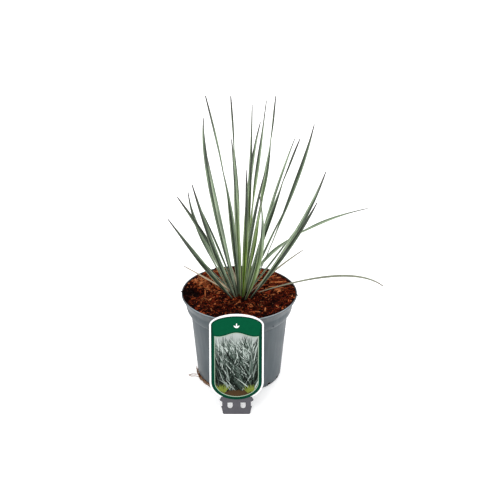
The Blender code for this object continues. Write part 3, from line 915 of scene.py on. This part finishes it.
def pot_outline():
    inside = [(0.0, POT_FLOOR), (wall_radius(POT_FLOOR) - POT_WALL, POT_FLOOR)]
    inside += collar_profile(POT_WALL)
    crest_z = POT_HEIGHT - LIP_ROUND
    crest = arc(RIM_RADIUS - LIP_WIDTH + LIP_ROUND, crest_z, LIP_ROUND, LIP_ROUND, 180.0, 90.0, LIP_STEPS)
    crest += arc(RIM_RADIUS - LIP_ROUND, crest_z, LIP_ROUND, LIP_ROUND, 90.0, 0.0, LIP_STEPS)
    outside = collar_profile(0.0)[::-1]
    foot = arc(BASE_RADIUS - FOOT_ROUND, FOOT_ROUND, FOOT_ROUND, FOOT_ROUND, 0.0, -90.0, FOOT_STEPS)
    base = [(FOOT_RING_RADIUS, 0.0), (FOOT_RING_RADIUS - FOOT_RECESS, FOOT_RECESS),
            (FOOT_PAD_RADIUS + FOOT_RECESS, FOOT_RECESS), (FOOT_PAD_RADIUS, 0.0), (0.0, 0.0)]
    return inside + crest + outside + foot + base


def drain_cutter():
    shape = bmesh.new()
    for slot in range(DRAIN_SLOTS):
        turn = DRAIN_TURN + tau * slot / DRAIN_SLOTS
        block = bmesh.ops.create_cube(shape, size=1.0)["verts"]
        bmesh.ops.scale(shape, verts=block, vec=(DRAIN_DEPTH, DRAIN_WIDTH, 2.0 * DRAIN_HEIGHT))
        bmesh.ops.translate(shape, verts=block, vec=(BASE_RADIUS - 0.5 * DRAIN_DEPTH + POT_WALL, 0.0, 0.0))
        bmesh.ops.rotate(shape, verts=block, cent=(0.0, 0.0, 0.0), matrix=Matrix.Rotation(turn, 3, "Z"))
    return linked("drain_cutter", baked(shape))


def make_pot():
    blank = linked("pot_blank", outward(mesh_of(*lathed(pot_outline(), POT_STEPS))))
    cutter = drain_cutter()
    cut = blank.modifiers.new("drain_slots", "BOOLEAN")
    cut.operation = "DIFFERENCE"
    cut.object = cutter
    mesh = evaluated_mesh(blank)
    bpy.data.objects.remove(blank)
    bpy.data.objects.remove(cutter)
    pot = new_piece("pot_shell", mesh, pot_material(), SHARP)
    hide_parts("pot")


def make_pips(material):
    """The small round moulding marks on the wall and the collar."""
    shape = bmesh.new()
    for turn, z in PIPS:
        height = z * MM
        slope = atan2(wall_radius(height + MM) - wall_radius(height - MM), 2.0 * MM)
        spin = Matrix.Rotation(radians(turn), 4, "Z")
        at = Matrix.Translation((wall_radius(height), 0.0, height))
        tilt = Matrix.Rotation(0.5 * pi + slope, 4, "Y")
        flat = Matrix.Diagonal((1.0, 1.0, PIP_RISE / PIP_RADIUS, 1.0))
        bmesh.ops.create_uvsphere(shape, u_segments=2 * PIP_STEPS, v_segments=PIP_STEPS, radius=PIP_RADIUS,
                                  matrix=spin @ at @ tilt @ flat)
    new_piece("moulding_pips", baked(shape), material)


# Soil

def soil_level(x, y):
    """Height of the soil's rough top."""
    radius = hypot(x, y)
    edge = wall_radius(SOIL_EDGE_Z) - POT_WALL - SOIL_CLEAR
    out = max(radius - CROWN_RADIUS, 0.0) / (edge - CROWN_RADIUS)
    level = SOIL_CROWN_Z + (SOIL_EDGE_Z - SOIL_CROWN_Z) * out ** SOIL_DISH
    for size, height in SOIL_LUMPS:
        spot = Vector((x, y, 0.0)) / (size * MM)
        level += height * MM * noise.noise(spot + Vector((size, *SOIL_LUMP_SHIFT)))
    away = hypot(x - HOLLOW_AT[0], y - HOLLOW_AT[1]) / HOLLOW_RADIUS
    level -= HOLLOW_DEPTH * exp(-away * away)
    near = hypot(x - CROWN_X, y) / CROWN_RADIUS
    level -= CROWN_DEPTH * exp(-near * near)
    return level


def make_soil(material):
    clear = POT_WALL + SOIL_CLEAR
    edge = wall_radius(SOIL_EDGE_Z) - clear
    top = [(edge * (i / SOIL_RINGS) ** SOIL_RING_CROWDING, SOIL_EDGE_Z) for i in range(SOIL_RINGS + 1)]
    side = [(radius - SOIL_CLEAR, z) for radius, z in collar_profile(POT_WALL)[::-1] if z < SOIL_EDGE_Z]
    floor_z = POT_FLOOR + SOIL_CLEAR
    foot = [(wall_radius(floor_z) - clear, floor_z), (0.0, floor_z)]
    verts, faces = lathed(top + side + foot, SOIL_STEPS)
    shaped = []
    for x, y, z in verts:
        if z >= SOIL_EDGE_Z - HAIR and hypot(x, y) <= edge + HAIR:
            z = soil_level(x, y)
        shaped.append((x, y, z))
    soil = new_piece("potting_mix", outward(mesh_of(shaped, faces)), material)
    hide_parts("soil")


def chip(draw, at, heading, tilt, length, width, thickness):
    """A splinter of bark: uneven cross-sections along a slightly bent line."""
    turn = Matrix.Translation(at) @ Matrix.Rotation(heading, 4, "Z") @ Matrix.Rotation(tilt, 4, "Y") \
        @ Matrix.Rotation(draw.uniform(-CHIP_ROLL, CHIP_ROLL), 4, "X")
    bend = draw.uniform(-CHIP_BEND, CHIP_BEND) * length
    verts = []
    for station in range(CHIP_STATIONS):
        along = station / (CHIP_STATIONS - 1.0) - 0.5
        wide = 0.5 * width * (1.0 - CHIP_TAPER * along * along) * draw.uniform(*CHIP_WIDE)
        thick = 0.5 * thickness * draw.uniform(*CHIP_THICK)
        middle = Vector((along * length, bend * (0.25 - along * along), 0.0))
        for across, up in CHIP_CORNERS:
            ragged = draw.uniform(-CHIP_RAGGED, CHIP_RAGGED) * length
            verts.append(turn @ (middle + Vector((ragged, across * wide, up * thick))))
    return verts, loft_faces(CHIP_STATIONS, len(CHIP_CORNERS))


def area_tone(x, y):
    """How bright the mix is at a place, from its named areas, some of them painted shade, and a slow wander.
    """
    tone = SOIL_TONE + SOIL_WANDER * noise.noise(Vector((x, y, 0.0)) / SOIL_WANDER_SIZE)
    for centre_x, centre_y, reach_x, reach_y, change in SOIL_AREAS:
        away = ((x / MM - centre_x) / reach_x) ** 2 + ((y / MM - centre_y) / reach_y) ** 2
        tone += change * exp(-away)
    return tone


def drawn_tone(draw, x, y, spread):
    """A small piece's tone: most are near the area's, and a few are far brighter."""
    tone = area_tone(x, y) + draw.gauss(0.0, spread) + BRIGHT_BIT * draw.random() ** BRIGHT_BIT_RARITY
    return clamp(tone, 0.0, 1.0)


def spot_on_soil(draw, ring):
    """A seeded random place on the soil between two radii in millimetres, even over its area."""
    inner, outer = (bound * MM for bound in ring)
    radius = sqrt(draw.uniform(inner * inner, outer * outer))
    return polar(radius, draw.uniform(0.0, tau))


def held_in(x, y, reach, limit, inner):
    """A place, moved in where what lies there would reach past the limit."""
    pull = inner / reach if reach > limit else 1.0
    return x * pull, y * pull


def over_soil(x, y, lift):
    return x, y, soil_level(x, y) + lift


def add_chips(heap, draw):
    """Chips all over the mix, and the long flakes among them."""
    for _ in range(CHIP_COUNT):
        x, y = spot_on_soil(draw, CHIP_RING)
        long = drawn(draw, CHIP_LENGTHS)
        x, y = held_in(x, y, hypot(x, y) + 0.5 * long, CHIP_LIMIT, CHIP_RING[1] * MM)
        at = over_soil(x, y, drawn(draw, CHIP_LIFTS))
        heap.add(*chip(draw, at, draw.uniform(0.0, pi), draw.gauss(0.0, CHIP_TILT), long,
                       drawn(draw, CHIP_WIDTHS), drawn(draw, CHIP_THICKNESSES)),
                 tone=drawn_tone(draw, x, y, CHIP_SPREAD))
    for _ in range(FLAKE_COUNT):
        x, y = [drawn(draw, bounds) for bounds in FLAKE_AREA]
        x, y = held_in(x, y, hypot(x, y), FLAKE_REACH, FLAKE_REACH)
        at = over_soil(x, y, drawn(draw, FLAKE_LIFTS))
        heap.add(*chip(draw, at, FLAKE_HEADING + draw.gauss(0.0, FLAKE_TURN), draw.gauss(0.0, FLAKE_TILT),
                       drawn(draw, FLAKE_LENGTHS), drawn(draw, FLAKE_WIDTHS), drawn(draw, FLAKE_THICKNESSES)),
                 tone=clamp(draw.gauss(FLAKE_TONE, FLAKE_SPREAD), *FLAKE_TONES))


def add_crumbs(heap, draw):
    """Small rough grains, from a ball of 20 faces with each point pulled in or out."""
    shape = bmesh.new()
    bmesh.ops.create_icosphere(shape, subdivisions=1, radius=1.0)
    ball = [vertex.co.copy() for vertex in shape.verts]
    polygons = [tuple(vertex.index for vertex in face.verts) for face in shape.faces]
    shape.free()
    for _ in range(CRUMB_COUNT):
        x, y = spot_on_soil(draw, CRUMB_RING)
        size = draw.uniform(*CRUMB_SIZES) * draw.uniform(*CRUMB_SHRINK) * MM
        at = Vector(over_soil(x, y, CRUMB_SUNK * size))
        stretch = Vector([draw.uniform(*bounds) for bounds in CRUMB_STRETCHES]) * size
        corners = [Vector((p.x * stretch.x, p.y * stretch.y, p.z * stretch.z)) for p in ball]
        points = [at + corner * draw.uniform(*CRUMB_ROUGHNESS) for corner in corners]
        heap.add(points, polygons, tone=drawn_tone(draw, x, y, CRUMB_SPREAD))


def tube(path, radius, sides=4):
    """A closed strand along a path, thinning at both ends."""
    verts = []
    last = len(path) - 1
    for i, point in enumerate(path):
        along = (path[min(i + 1, last)] - path[max(i - 1, 0)]).normalized()
        side = along.cross(UP)
        side = side.normalized() if side.length > TINY else Vector((1.0, 0.0, 0.0))
        up = along.cross(side)
        thick = radius * (STRAND_END + (1.0 - STRAND_END) * sin(pi * i / last))
        for k in range(sides):
            turn = tau * k / sides
            verts.append(point + thick * (cos(turn) * side + sin(turn) * up))
    return verts, loft_faces(len(path), sides)


def add_fibres(heap, draw):
    """Curled coir fibres that lie on the mix and stop at the pot's wall."""
    for _ in range(FIBRE_COUNT):
        x, y = spot_on_soil(draw, FIBRE_RING)
        heading = draw.uniform(0.0, tau)
        stride = drawn(draw, FIBRE_STRIDES)
        curl = draw.gauss(0.0, FIBRE_CURL)
        lift = drawn(draw, FIBRE_LIFTS)
        path = []
        for k in range(FIBRE_POINTS):
            if hypot(x, y) > FIBRE_LIMIT:
                break
            rise = lift * sin(pi * k / (FIBRE_POINTS - 1))
            path.append(Vector((x, y, soil_level(x, y) + FIBRE_CLEAR + rise)))
            heading += curl + draw.gauss(0.0, FIBRE_WANDER)
            x += stride * cos(heading)
            y += stride * sin(heading)
        if len(path) >= FIBRE_FEWEST:
            heap.add(*tube(path, drawn(draw, FIBRE_RADII)),
                     tone=min(drawn_tone(draw, x, y, FIBRE_SPREAD) + FIBRE_TONE, 1.0))


def foot_fibre(draw):
    """A strand of coir that lies round the foot of the pot's wall."""
    turn = draw.uniform(*FOOT_FIBRE_TURNS)
    step = draw.choice((-1.0, 1.0)) * radians(draw.uniform(*FOOT_FIBRE_STEPS))
    radius = BASE_RADIUS + drawn(draw, FOOT_FIBRE_OUT)
    height = drawn(draw, FOOT_FIBRE_HEIGHTS)
    path = []
    for _ in range(FOOT_FIBRE_POINTS):
        path.append(Vector((*polar(radius, turn), max(height, FOOT_FIBRE_LOWEST))))
        turn += step
        radius += draw.gauss(*FOOT_FIBRE_DRIFT[0]) * MM
        height += draw.gauss(*FOOT_FIBRE_DRIFT[1]) * MM
    return tube(path, drawn(draw, FOOT_FIBRE_RADII))


def add_bits(heap, draw):
    """The single bits that stand out: stubs, bits on the lip and a bare root."""
    for (x, y), (ahead_x, ahead_y), long, wide, tilt, tone in STUBS:
        tilt = radians(tilt)
        heading = atan2(ahead_y, ahead_x)
        at = over_soil(x * MM, y * MM, 0.5 * long * MM * sin(tilt) + STUB_LIFT)
        heap.add(*chip(draw, at, heading, -tilt, long * MM, wide * MM, STUB_THICKNESS), tone=tone)
    for (x, y), (ahead_x, ahead_y), long, wide, tone in RIM_BITS:
        heading = atan2(ahead_y, ahead_x)
        at = (x * MM, y * MM, POT_HEIGHT + RIM_BIT_LIFT)
        heap.add(*chip(draw, at, heading, RIM_BIT_TILT, long * MM, wide * MM, RIM_BIT_THICKNESS), tone=tone)
    path = [Vector(over_soil(x * MM, y * MM, CROWN_ROOT_LIFT)) for x, y in CROWN_ROOT]
    heap.add(*tube(path, CROWN_ROOT_RADIUS, ROOT_SIDES), tone=1.0)


def add_foot_coir(heap, draw):
    """Coir that clings round the pot's foot, and a loop of dry root on the floor beside it."""
    path = [Vector((x * MM, y * MM, FOOT_LOOP_Z)) for x, y in FOOT_LOOP]
    heap.add(*tube(path, FOOT_LOOP_RADIUS, ROOT_SIDES), tone=FOOT_LOOP_TONE)
    for _ in range(FOOT_FIBRES):
        heap.add(*foot_fibre(draw), tone=draw.uniform(0.0, 1.0))


def add_slot_shade_crumbs(heap, draw):
    """Mix in the mouths of the drain slots, at the darkest tone as painted shade inside them."""
    for slot in range(DRAIN_SLOTS):
        turn = DRAIN_TURN + tau * slot / DRAIN_SLOTS
        for k in range(SLOT_CRUMBS):
            aside = (k / (SLOT_CRUMBS - 1.0) - 0.5) * SLOT_FILLED * DRAIN_WIDTH
            x, y = polar(BASE_RADIUS - drawn(draw, SLOT_CRUMB_INSETS), turn)
            at = (x - aside * sin(turn), y + aside * cos(turn), drawn(draw, SLOT_CRUMB_HEIGHTS))
            size = drawn(draw, SLOT_CRUMB_SIZES)
            sides = [share * size for share in SLOT_CRUMB_SHAPE]
            # tone 0, the darkest: painted shade inside the slot
            heap.add(*chip(draw, at, draw.uniform(0.0, pi), 0.0, *sides), tone=0.0)


# Leaves

def half_width(share, point):
    """Blade half width at a share of its length, over its widest half width."""
    past = max(share - BLADE_WIDEST, 0.0) / (1.0 - BLADE_WIDEST)
    before = max(BLADE_WIDEST - share, 0.0) / BLADE_WIDEST
    return 1.0 - (1.0 - point) * past ** BLADE_TAPER \
        - (1.0 - BLADE_BASE) * before ** BLADE_BASE_TAPER


def centre_line(root, tip, bow, sway, lead):
    """The root, the middle control point and the tip of a blade's smooth centre line."""
    chord = tip - root
    side = UP.cross(chord).normalized()
    up = chord.cross(side).normalized()
    return root, root + chord * lead + 2.0 * bow * up + 2.0 * sway * side, tip


def root_of(tip):
    """Where a leaf leaves the stem: the flatter it lies, the higher and the further out."""
    heading = atan2(tip.y, tip.x - CROWN_X)
    lean = degrees(atan2(hypot(tip.x - CROWN_X, tip.y), tip.z - ROOT_Z))
    low = (lean - ROOT_LEANS[0]) / (ROOT_LEANS[1] - ROOT_LEANS[0])
    radius = ROOT_RADIUS + ROOT_SPREAD * min(lean / ROOT_SPREAD_LEAN, 1.0)
    height = ROOT_Z + ROOT_RISE * clamp(low, 0.0, 1.0)
    x, y = polar(radius, heading)
    return Vector((CROWN_X + x, y, height))


def blade_frame(line, share, roll, twist):
    """The centre line's point, and the blade's directions across and out of its face."""
    root, middle, tip = line
    rest = 1.0 - share
    centre = rest * rest * root + 2.0 * share * rest * middle + share * share * tip
    along = (rest * (middle - root) + share * (tip - middle)).normalized()
    side = UP.cross(along).normalized()
    up = along.cross(side)
    settled = min(share / ROLL_SETTLED, 1.0)
    turn = roll * settled * settled * (3.0 - 2.0 * settled) + twist * max(share - ROLL_SETTLED, 0.0)
    across = cos(turn) * side + sin(turn) * up
    return centre, across, along.cross(across)


def blade_ring(frame_here, share, width, point, fuller):
    """A cross-section: over the upper face from margin to margin, then back under the lower one."""
    centre, across, normal = frame_here
    reach = 0.5 * fuller * width * half_width(share, point)
    thinning = min(1.0, BLADE_POINT_THICKNESS + BLADE_POINT_FALL * (1.0 - share))
    thick = fuller * BLADE_THICKNESS * thinning * (BLADE_THICKENING[0] + BLADE_THICKENING[1] * share)
    upper = []
    lower = []
    for i in range(BLADE_STRIPS + 1):
        t = 2.0 * i / BLADE_STRIPS - 1.0
        rib = centre + reach * t * across + BLADE_CHANNEL * reach * abs(t) ** BLADE_CHANNEL_CURVE * normal
        skin = 0.5 * thick * (BLADE_EDGE + (1.0 - BLADE_EDGE) * sqrt(1.0 - t * t)) * normal
        upper.append(rib + skin)
        lower.append(rib - skin)
    return upper + lower[::-1]


def blade(line, width, roll, twist, pale, painted_shade_contrast, point, fuller):
    """A closed blade's points, faces, map and paleness, with painted light on one half and painted shade on
    the other.
    """
    verts = []
    layout = []
    light = []
    size = 2 * (BLADE_STRIPS + 1)
    spans = [k / BLADE_STRIPS for k in range(BLADE_STRIPS + 1)]
    halves = [clamp(BLADE_HALF_SWITCH * (2.0 * k / BLADE_STRIPS - 1.0), -1.0, 1.0)
              for k in range(BLADE_STRIPS + 1)]
    for i in range(BLADE_STEPS + 1):
        share = i / BLADE_STEPS
        frame_here = blade_frame(line, share, roll, twist)
        verts += blade_ring(frame_here, share, width, point, fuller)
        row = [(span, share) for span in spans]
        layout += row + row[::-1]
        # painted light and shade: the half that the width's x points to is made paler or darker
        facing = clamp(BLADE_HALF_SWITCH * frame_here[1].x, -1.0, 1.0)
        shades = [pale + painted_shade_contrast * facing * half for half in halves]
        light += shades + shades[::-1]
    faces = loft_faces(BLADE_STEPS + 1, size, False)
    end = BLADE_STEPS * size
    for k in range(BLADE_STRIPS):
        low = size - 1 - k
        faces.append((k + 1, k, low, low - 1))
        faces.append((end + k, end + k + 1, end + low - 1, end + low))
    return verts, faces, layout, light


def make_leaves(name, rows, material, looks, dryness=None, point=BLADE_POINT, fuller=1.0):
    """One piece for a group of leaves, each with its own look."""
    heap = Heap()
    for i, (x, y, z, bow, sway, lead, width, roll, twist) in enumerate(rows):
        tip = Vector((x, y, z)) * MM
        line = centre_line(root_of(tip), tip, bow * MM, sway * MM, lead)
        pale, young, painted_shade_contrast = looks[i]
        points, polygons, layout, light = blade(line, width * MM, radians(roll), radians(twist),
                                                pale, painted_shade_contrast, point, fuller)
        dry = dryness[i] if dryness else 0.0
        heap.add(points, polygons, young=young, dry=dry, light=light, leaf_map=layout)
    return new_piece(name, outward(heap.mesh()), material, LEAF_SHARP)


def back_leaves():
    """The leaves behind, from the seeded rule, with the first one lowered."""
    draw = random.Random(BACK_SEED)
    rows = [(*tip, draw.uniform(*BACK_BOWS), 0.0, BACK_LEAD, draw.uniform(*BACK_WIDTHS),
             draw.uniform(*BACK_ROLLS), draw.uniform(*BACK_TWISTS)) for tip in BACK_TIPS]
    first = rows[0]
    return [(*first[:3], first[3] - BACK_FIRST_SAG, *first[4:])] + rows[1:]


def make_plant():
    """The green, the hidden and the dry leaves, and the stem's foot."""
    draw = random.Random(LOOKS_SEED)
    green = leaf_material()
    front = make_leaves("green_leaves", LEAVES, green, LEAF_LOOKS)
    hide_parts("leafy_stem")
    rows = back_leaves()
    looks = [(draw.uniform(*BACK_PALENESS), 0.0, draw.uniform(*BACK_PAINTED_SHADE_CONTRASTS)) for _ in rows]
    make_leaves("back_leaves", rows, green, looks)
    make_leaves("old_leaves", OLD_LEAVES, old_leaf_material(), [OLD_LEAF_LOOK] * len(OLD_LEAVES),
                OLD_LEAF_DRYNESS, OLD_LEAF_POINT, OLD_LEAF_FULLNESS)
    outline = [(0.0, STEM_TOP_Z), (STEM_TOP_RADIUS, STEM_TOP_Z), (STEM_RADIUS, STEM_SHOULDER_Z),
               (STEM_RADIUS, STEM_FOOT_Z), (0.0, STEM_FOOT_Z)]
    verts, faces = lathed(outline, STEM_SIDES)
    verts = [(x + CROWN_X, y, z) for x, y, z in verts]
    new_piece("stem_stub", outward(mesh_of(verts, faces)), stem_material(), SHARP)


# Label

def label_matrix():
    """The label's place, leant back on the pot's lip: x and y run across it and up it, and z out of it."""
    away = -LABEL_FOOT_Y - RIM_RADIUS
    lip_z = POT_HEIGHT - LIP_ROUND
    lean = acos(FIT_GAP / hypot(away, lip_z)) - atan2(lip_z, away)
    back = 0.5 * LABEL_THICKNESS
    foot = (LABEL_X, LABEL_FOOT_Y - back * cos(lean), back * sin(lean))
    return Matrix.Translation(foot) @ Matrix.Rotation(0.5 * pi - lean, 4, "X")


def card_outline():
    """The card's right half from the tab's corner up to the top, and its mirror image."""
    lower = degrees(acos(TAB_SHOULDER_HALF / LABEL_HALF_WIDTH))
    drop = (LABEL_SIDE_FOOT - LABEL_SHOULDER) / sin(radians(lower))
    half = arc(TAB_END_HALF - TAB_CORNER, TAB_CORNER, TAB_CORNER, TAB_CORNER, -90.0, 0.0, TAB_CORNER_STEPS)
    half += [(x * MM, y * MM) for x, y in TAB_EDGE]
    half += arc(0.0, LABEL_SIDE_FOOT, LABEL_HALF_WIDTH, drop, -lower, 0.0)
    half += arc(0.0, LABEL_SIDE_TOP, LABEL_HALF_WIDTH, LABEL_LENGTH - LABEL_SIDE_TOP, 0.0, 90.0)
    return half + [(-x, y) for x, y in half[::-1] if x > TINY]


def window_outline(centre):
    half = WINDOW_HALF_WIDTH
    bowl = arc(centre, WINDOW_FOOT + half, half, half, -180.0, 0.0, WINDOW_STEPS)
    return bowl + [(centre + half, WINDOW_TOP), (centre - half, WINDOW_TOP)]


def filled_mesh(outlines, low, high):
    """A flat solid with the given outlines, holes included, between two heights over the card's middle."""
    curve = bpy.data.curves.new("outline", "CURVE")
    curve.dimensions = "2D"
    curve.fill_mode = "BOTH"
    curve.extrude = 0.5 * (high - low)
    for outline in outlines:
        spline = curve.splines.new("POLY")
        spline.points.add(len(outline) - 1)
        for point, (x, y) in zip(spline.points, outline):
            point.co = (x, y, 0.0, 1.0)
        spline.use_cyclic_u = True
    drawing = linked("drawing", curve)
    mesh = evaluated_mesh(drawing)
    bpy.data.objects.remove(drawing)
    mesh.transform(label_matrix() @ Matrix.Translation((0.0, 0.0, 0.5 * (low + high))))
    return outward(mesh, WELD)


def printed(name, outlines, low, high, ink):
    """A flat piece of the label between two heights."""
    return new_piece(name, filled_mesh(outlines, low, high), ink, SHARP)


def capsule(half, top, foot):
    """The frame's form: straight sides between two half ellipses."""
    return arc(0.0, LABEL_SIDE_TOP, half, top - LABEL_SIDE_TOP, 0.0, 180.0) \
        + arc(0.0, LABEL_SIDE_FOOT, half, LABEL_SIDE_FOOT - foot, 180.0, 360.0)


def panel_outline(grow):
    """The picture's window: straight sides, a round foot and a wavy top."""
    half = PANEL_HALF_WIDTH + grow
    low = arc(0.0, LABEL_SIDE_FOOT, half, LABEL_SIDE_FOOT - PANEL_FOOT + grow, 180.0, 360.0)
    return low + header_wave(half, grow)


def header_wave(half, grow):
    """The line where the picture meets the header, from right to left."""
    wave = []
    for i in range(ARC_STEPS + 1):
        x = half * (1.0 - 2.0 * i / ARC_STEPS)
        wave.append((x, PANEL_TOP + grow + WAVE_HEIGHT * cos(WAVE_BENDS * pi * x / PANEL_HALF_WIDTH)))
    return wave


def in_frame(point):
    """True where a printed point lies well inside the frame's outer line."""
    half = LABEL_HALF_WIDTH - FRAME_INSET - MM
    below = max(LABEL_SIDE_FOOT - point.y, 0.0) / (LABEL_SIDE_FOOT - FRAME_FOOT - MM)
    return below < 1.0 and abs(point.x) < half * sqrt(1.0 - below * below)


def leaning(lean):
    """The directions along and across a printed leaf that leans from upright."""
    along = Vector((sin(lean), cos(lean)))
    return along, Vector((along.y, -along.x))


def leaf_strip(foot, lean, length, width, level):
    """One printed leaf: a thin closed strip that lies on the label."""
    along, across = leaning(lean)
    bend = PRINTED_LEAF_BEND * length * lean
    flat = []
    for share, wide in PRINTED_LEAF:
        centre = foot + along * (length * share) + across * (bend * share * share)
        flat += [centre - across * (0.5 * width * wide), centre + across * (0.5 * width * wide)]
    verts = [Vector((p.x, p.y, z)) for z in (level + PRINTED_LEAF_THICKNESS, level) for p in flat]
    size = len(flat)
    last = size - 2
    faces = []
    for a in range(0, last, 2):
        b = a + size
        faces.append((a, a + 1, a + 3, a + 2))
        faces.append((b, b + 2, b + 3, b + 1))
        faces.append((a, a + 2, b + 2, b))
        faces.append((a + 1, b + 1, b + 3, a + 3))
    faces += [(0, size, size + 1, 1), (last, last + 1, last + size + 1, last + size)]
    return verts, faces


def fanned(draw, spread, leaf, leaves):
    """The lean of one leaf in a tuft, which fans out from one side to the other."""
    return spread * (2.0 * leaf / (leaves - 1) - 1.0) + draw.gauss(0.0, FAN_WANDER)


def add_leaf(heap, level, strip, **values):
    """Prints a leaf that lies inside the frame, and gives the level of the next one."""
    points, polygons = strip
    if not all(in_frame(p) for p in points):
        return level
    stand = label_matrix()
    heap.add([stand @ p for p in points], polygons, **values)
    return level + PRINTED_LEAF_STEP


def make_sprigs(level):
    """Rows of upright tufts, each row over the one behind it, and each leaf a hair over the last."""
    draw = random.Random(SPRIG_SEED)
    heap = Heap()
    span = 2.0 * (PANEL_HALF_WIDTH - SPRIG_MARGIN)
    for foot_y, height, count, tone in SPRIG_ROWS:
        for sprig in range(count):
            x = span * ((sprig + 0.5) / count - 0.5) + drawn(draw, SPRIG_SHIFTS[0])
            y = foot_y * MM + drawn(draw, SPRIG_SHIFTS[1])
            order = list(range(SPRIG_LEAVES))
            draw.shuffle(order)
            for k in order:
                lean = fanned(draw, SPRIG_FAN, k, SPRIG_LEAVES)
                long = height * MM * draw.uniform(*SPRIG_LENGTHS) * (1.0 - SPRIG_DROOP * abs(lean))
                foot = Vector((x + SPRIG_FOOT * sin(lean), y))
                strip = leaf_strip(foot, lean, long, drawn(draw, SPRIG_WIDTHS), level)
                level = add_leaf(heap, level, strip, tone=clamp(draw.gauss(tone, SPRIG_SPREAD), 0.0, 1.0))
    new_piece("label_sprigs", outward(heap.mesh()), sprig_material())
    heap = Heap()
    for x in TUFT_FEET:
        for k in range(TUFT_LEAVES):
            lean = fanned(draw, TUFT_FAN, k, TUFT_LEAVES)
            foot = Vector((x * MM + TUFT_FOOT * sin(lean), TUFT_FOOT_Y + abs(x) * TUFT_FOOT_RISE))
            strip = leaf_strip(foot, lean, drawn(draw, TUFT_LENGTHS), TUFT_WIDTH, level)
            level = add_leaf(heap, level, strip)
    new_piece("label_tufts", outward(heap.mesh()), print_material("label_bright_ink"))
    return level + PRINT_STEP


def sprout_leaf(lean, length):
    """A pointed leaf outline for the header's small sprout."""
    along, across = leaning(lean)
    right = []
    left = []
    for i in range(SPROUT_STEPS + 1):
        share = i / SPROUT_STEPS
        wide = 0.5 * SPROUT_WIDTH * sin(pi * share) ** SPROUT_FULLNESS
        centre = Vector(SPROUT_FOOT) + along * (length * share)
        right.append(tuple(centre + across * wide))
        left.append(tuple(centre - across * wide))
    return right + left[-2:0:-1]


def make_card():
    """The card itself, with the two windows in its tab."""
    outlines = [card_outline(), window_outline(-WINDOW_CENTRE), window_outline(WINDOW_CENTRE)]
    card = printed("label_card", outlines, -CARD_FACE, CARD_FACE, print_material("label_card_plastic"))
    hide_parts("label")


def header_outline(top):
    """The header: an arch over the wave at the picture's top."""
    arch_half, wave_half = [PANEL_HALF_WIDTH + grow for grow in HEADER_GROW]
    arch = arc(0.0, LABEL_SIDE_TOP, arch_half, top - LABEL_SIDE_TOP - HEADER_GAP, 0.0, 180.0)
    return arch + [(x, y + HEADER_GAP) for x, y in header_wave(wave_half, TRIM_WIDTH)[::-1]]


def make_label():
    """The card and its print: the white border, the frame, the picture, the header and its sprout."""
    make_card()
    half = LABEL_HALF_WIDTH - FRAME_INSET
    top = LABEL_LENGTH - FRAME_TOP_INSET
    body = [point for point in card_outline() if point[1] >= LABEL_SHOULDER - HAIR]
    white = print_material("label_white_ink")
    layers = (
        ("label_white", body, white),
        ("label_frame_line", capsule(half, top, FRAME_FOOT), print_material("label_dark_ink")),
        ("label_picture", panel_outline(0.5 * TRIM_WIDTH), picture_material()),
    )
    level = CARD_FACE
    for name, outline, ink in layers:
        printed(name, [outline], level, level + PRINT_STEP, ink)
        level += PRINT_STEP
    over = make_sprigs(level)
    inner = capsule(half - FRAME_LINE, top - FRAME_LINE, FRAME_FOOT + FRAME_LINE)
    edge = panel_outline(TRIM_WIDTH)
    level -= PRINT_STEP
    printed("label_frame", [inner, edge], level, over, print_material("label_green_ink"))
    printed("label_trim", [edge, panel_outline(0.0)], level, over, print_material("label_cream_ink"))
    bright = print_material("label_header_ink")
    printed("label_header", [header_outline(top)], over, over + PRINT_STEP, bright)
    for i, (turn, long) in enumerate(SPROUT_LEAVES):
        printed(f"label_sprout_{i}", [sprout_leaf(radians(turn), long * MM)],
                over + PRINT_STEP, over + 2.0 * PRINT_STEP, white)


# Stage

def make_stage():
    bpy.ops.mesh.primitive_plane_add(size=FLOOR_SIZE, location=(0.0, 0.0, 0.0))
    floor = bpy.context.object
    floor.name = "floor"
    floor.data.materials.append(floor_material())
    world = bpy.data.worlds.new("studio")
    world.use_nodes = True
    sky = world.node_tree.nodes["Background"].inputs
    sky["Color"].default_value = (1.0, 1.0, 1.0, 1.0)
    sky["Strength"].default_value = SKY_STRENGTH
    bpy.context.scene.world = world
    for name, direction, width, strength in SOFT_LIGHTS:
        light = bpy.data.lights.new(name, "SUN")
        light.angle = radians(width)
        light.energy = strength
        linked(name, light).rotation_euler = Vector(direction).to_track_quat("Z", "Y").to_euler()
    bpy.context.scene.view_settings.view_transform = "Standard"


def make_camera():
    camera = bpy.data.cameras.new("camera")
    camera.lens = CAMERA_LENS
    camera.sensor_width = CAMERA_SENSOR
    camera.clip_end = CAMERA_FAR
    made = linked("camera", camera)
    made.location = CAMERA_AT
    made.rotation_euler = (CAMERA_TILT, 0.0, 0.0)
    bpy.context.scene.camera = made


def make_mix():
    """The soil, and the loose pieces on it and round the pot's foot."""
    make_soil(soil_material())
    pieces = (
        ("bark_chips", add_chips, CHIP_SEED, mix_material("bark_chip", 0.8), CHIP_SHARP),
        ("crumbs", add_crumbs, CHIP_SEED + 1, mix_material("mix_crumb", 0.9), CRUMB_SHARP),
        ("coir_fibres", add_fibres, FIBRE_SEED, mix_material("coir_fibre", 0.85), None),
        ("loose_bits", add_bits, FIBRE_SEED + 1, mix_material("loose_bit", 0.85), None),
        ("foot_coir", add_foot_coir, FIBRE_SEED + 2, straw_material(), None),
        ("slot_shade_crumbs", add_slot_shade_crumbs, CHIP_SEED + 2, mix_material("slot_shade_crumb", 0.95), None),
    )
    for name, fill, seed, material, sharp_angle in pieces:
        heap = Heap()
        fill(heap, random.Random(seed))
        new_piece(name, heap.mesh(), material, sharp_angle)


make_stage()
make_camera()
make_pot()
make_pips(pip_material())
make_mix()
make_plant()
make_label()
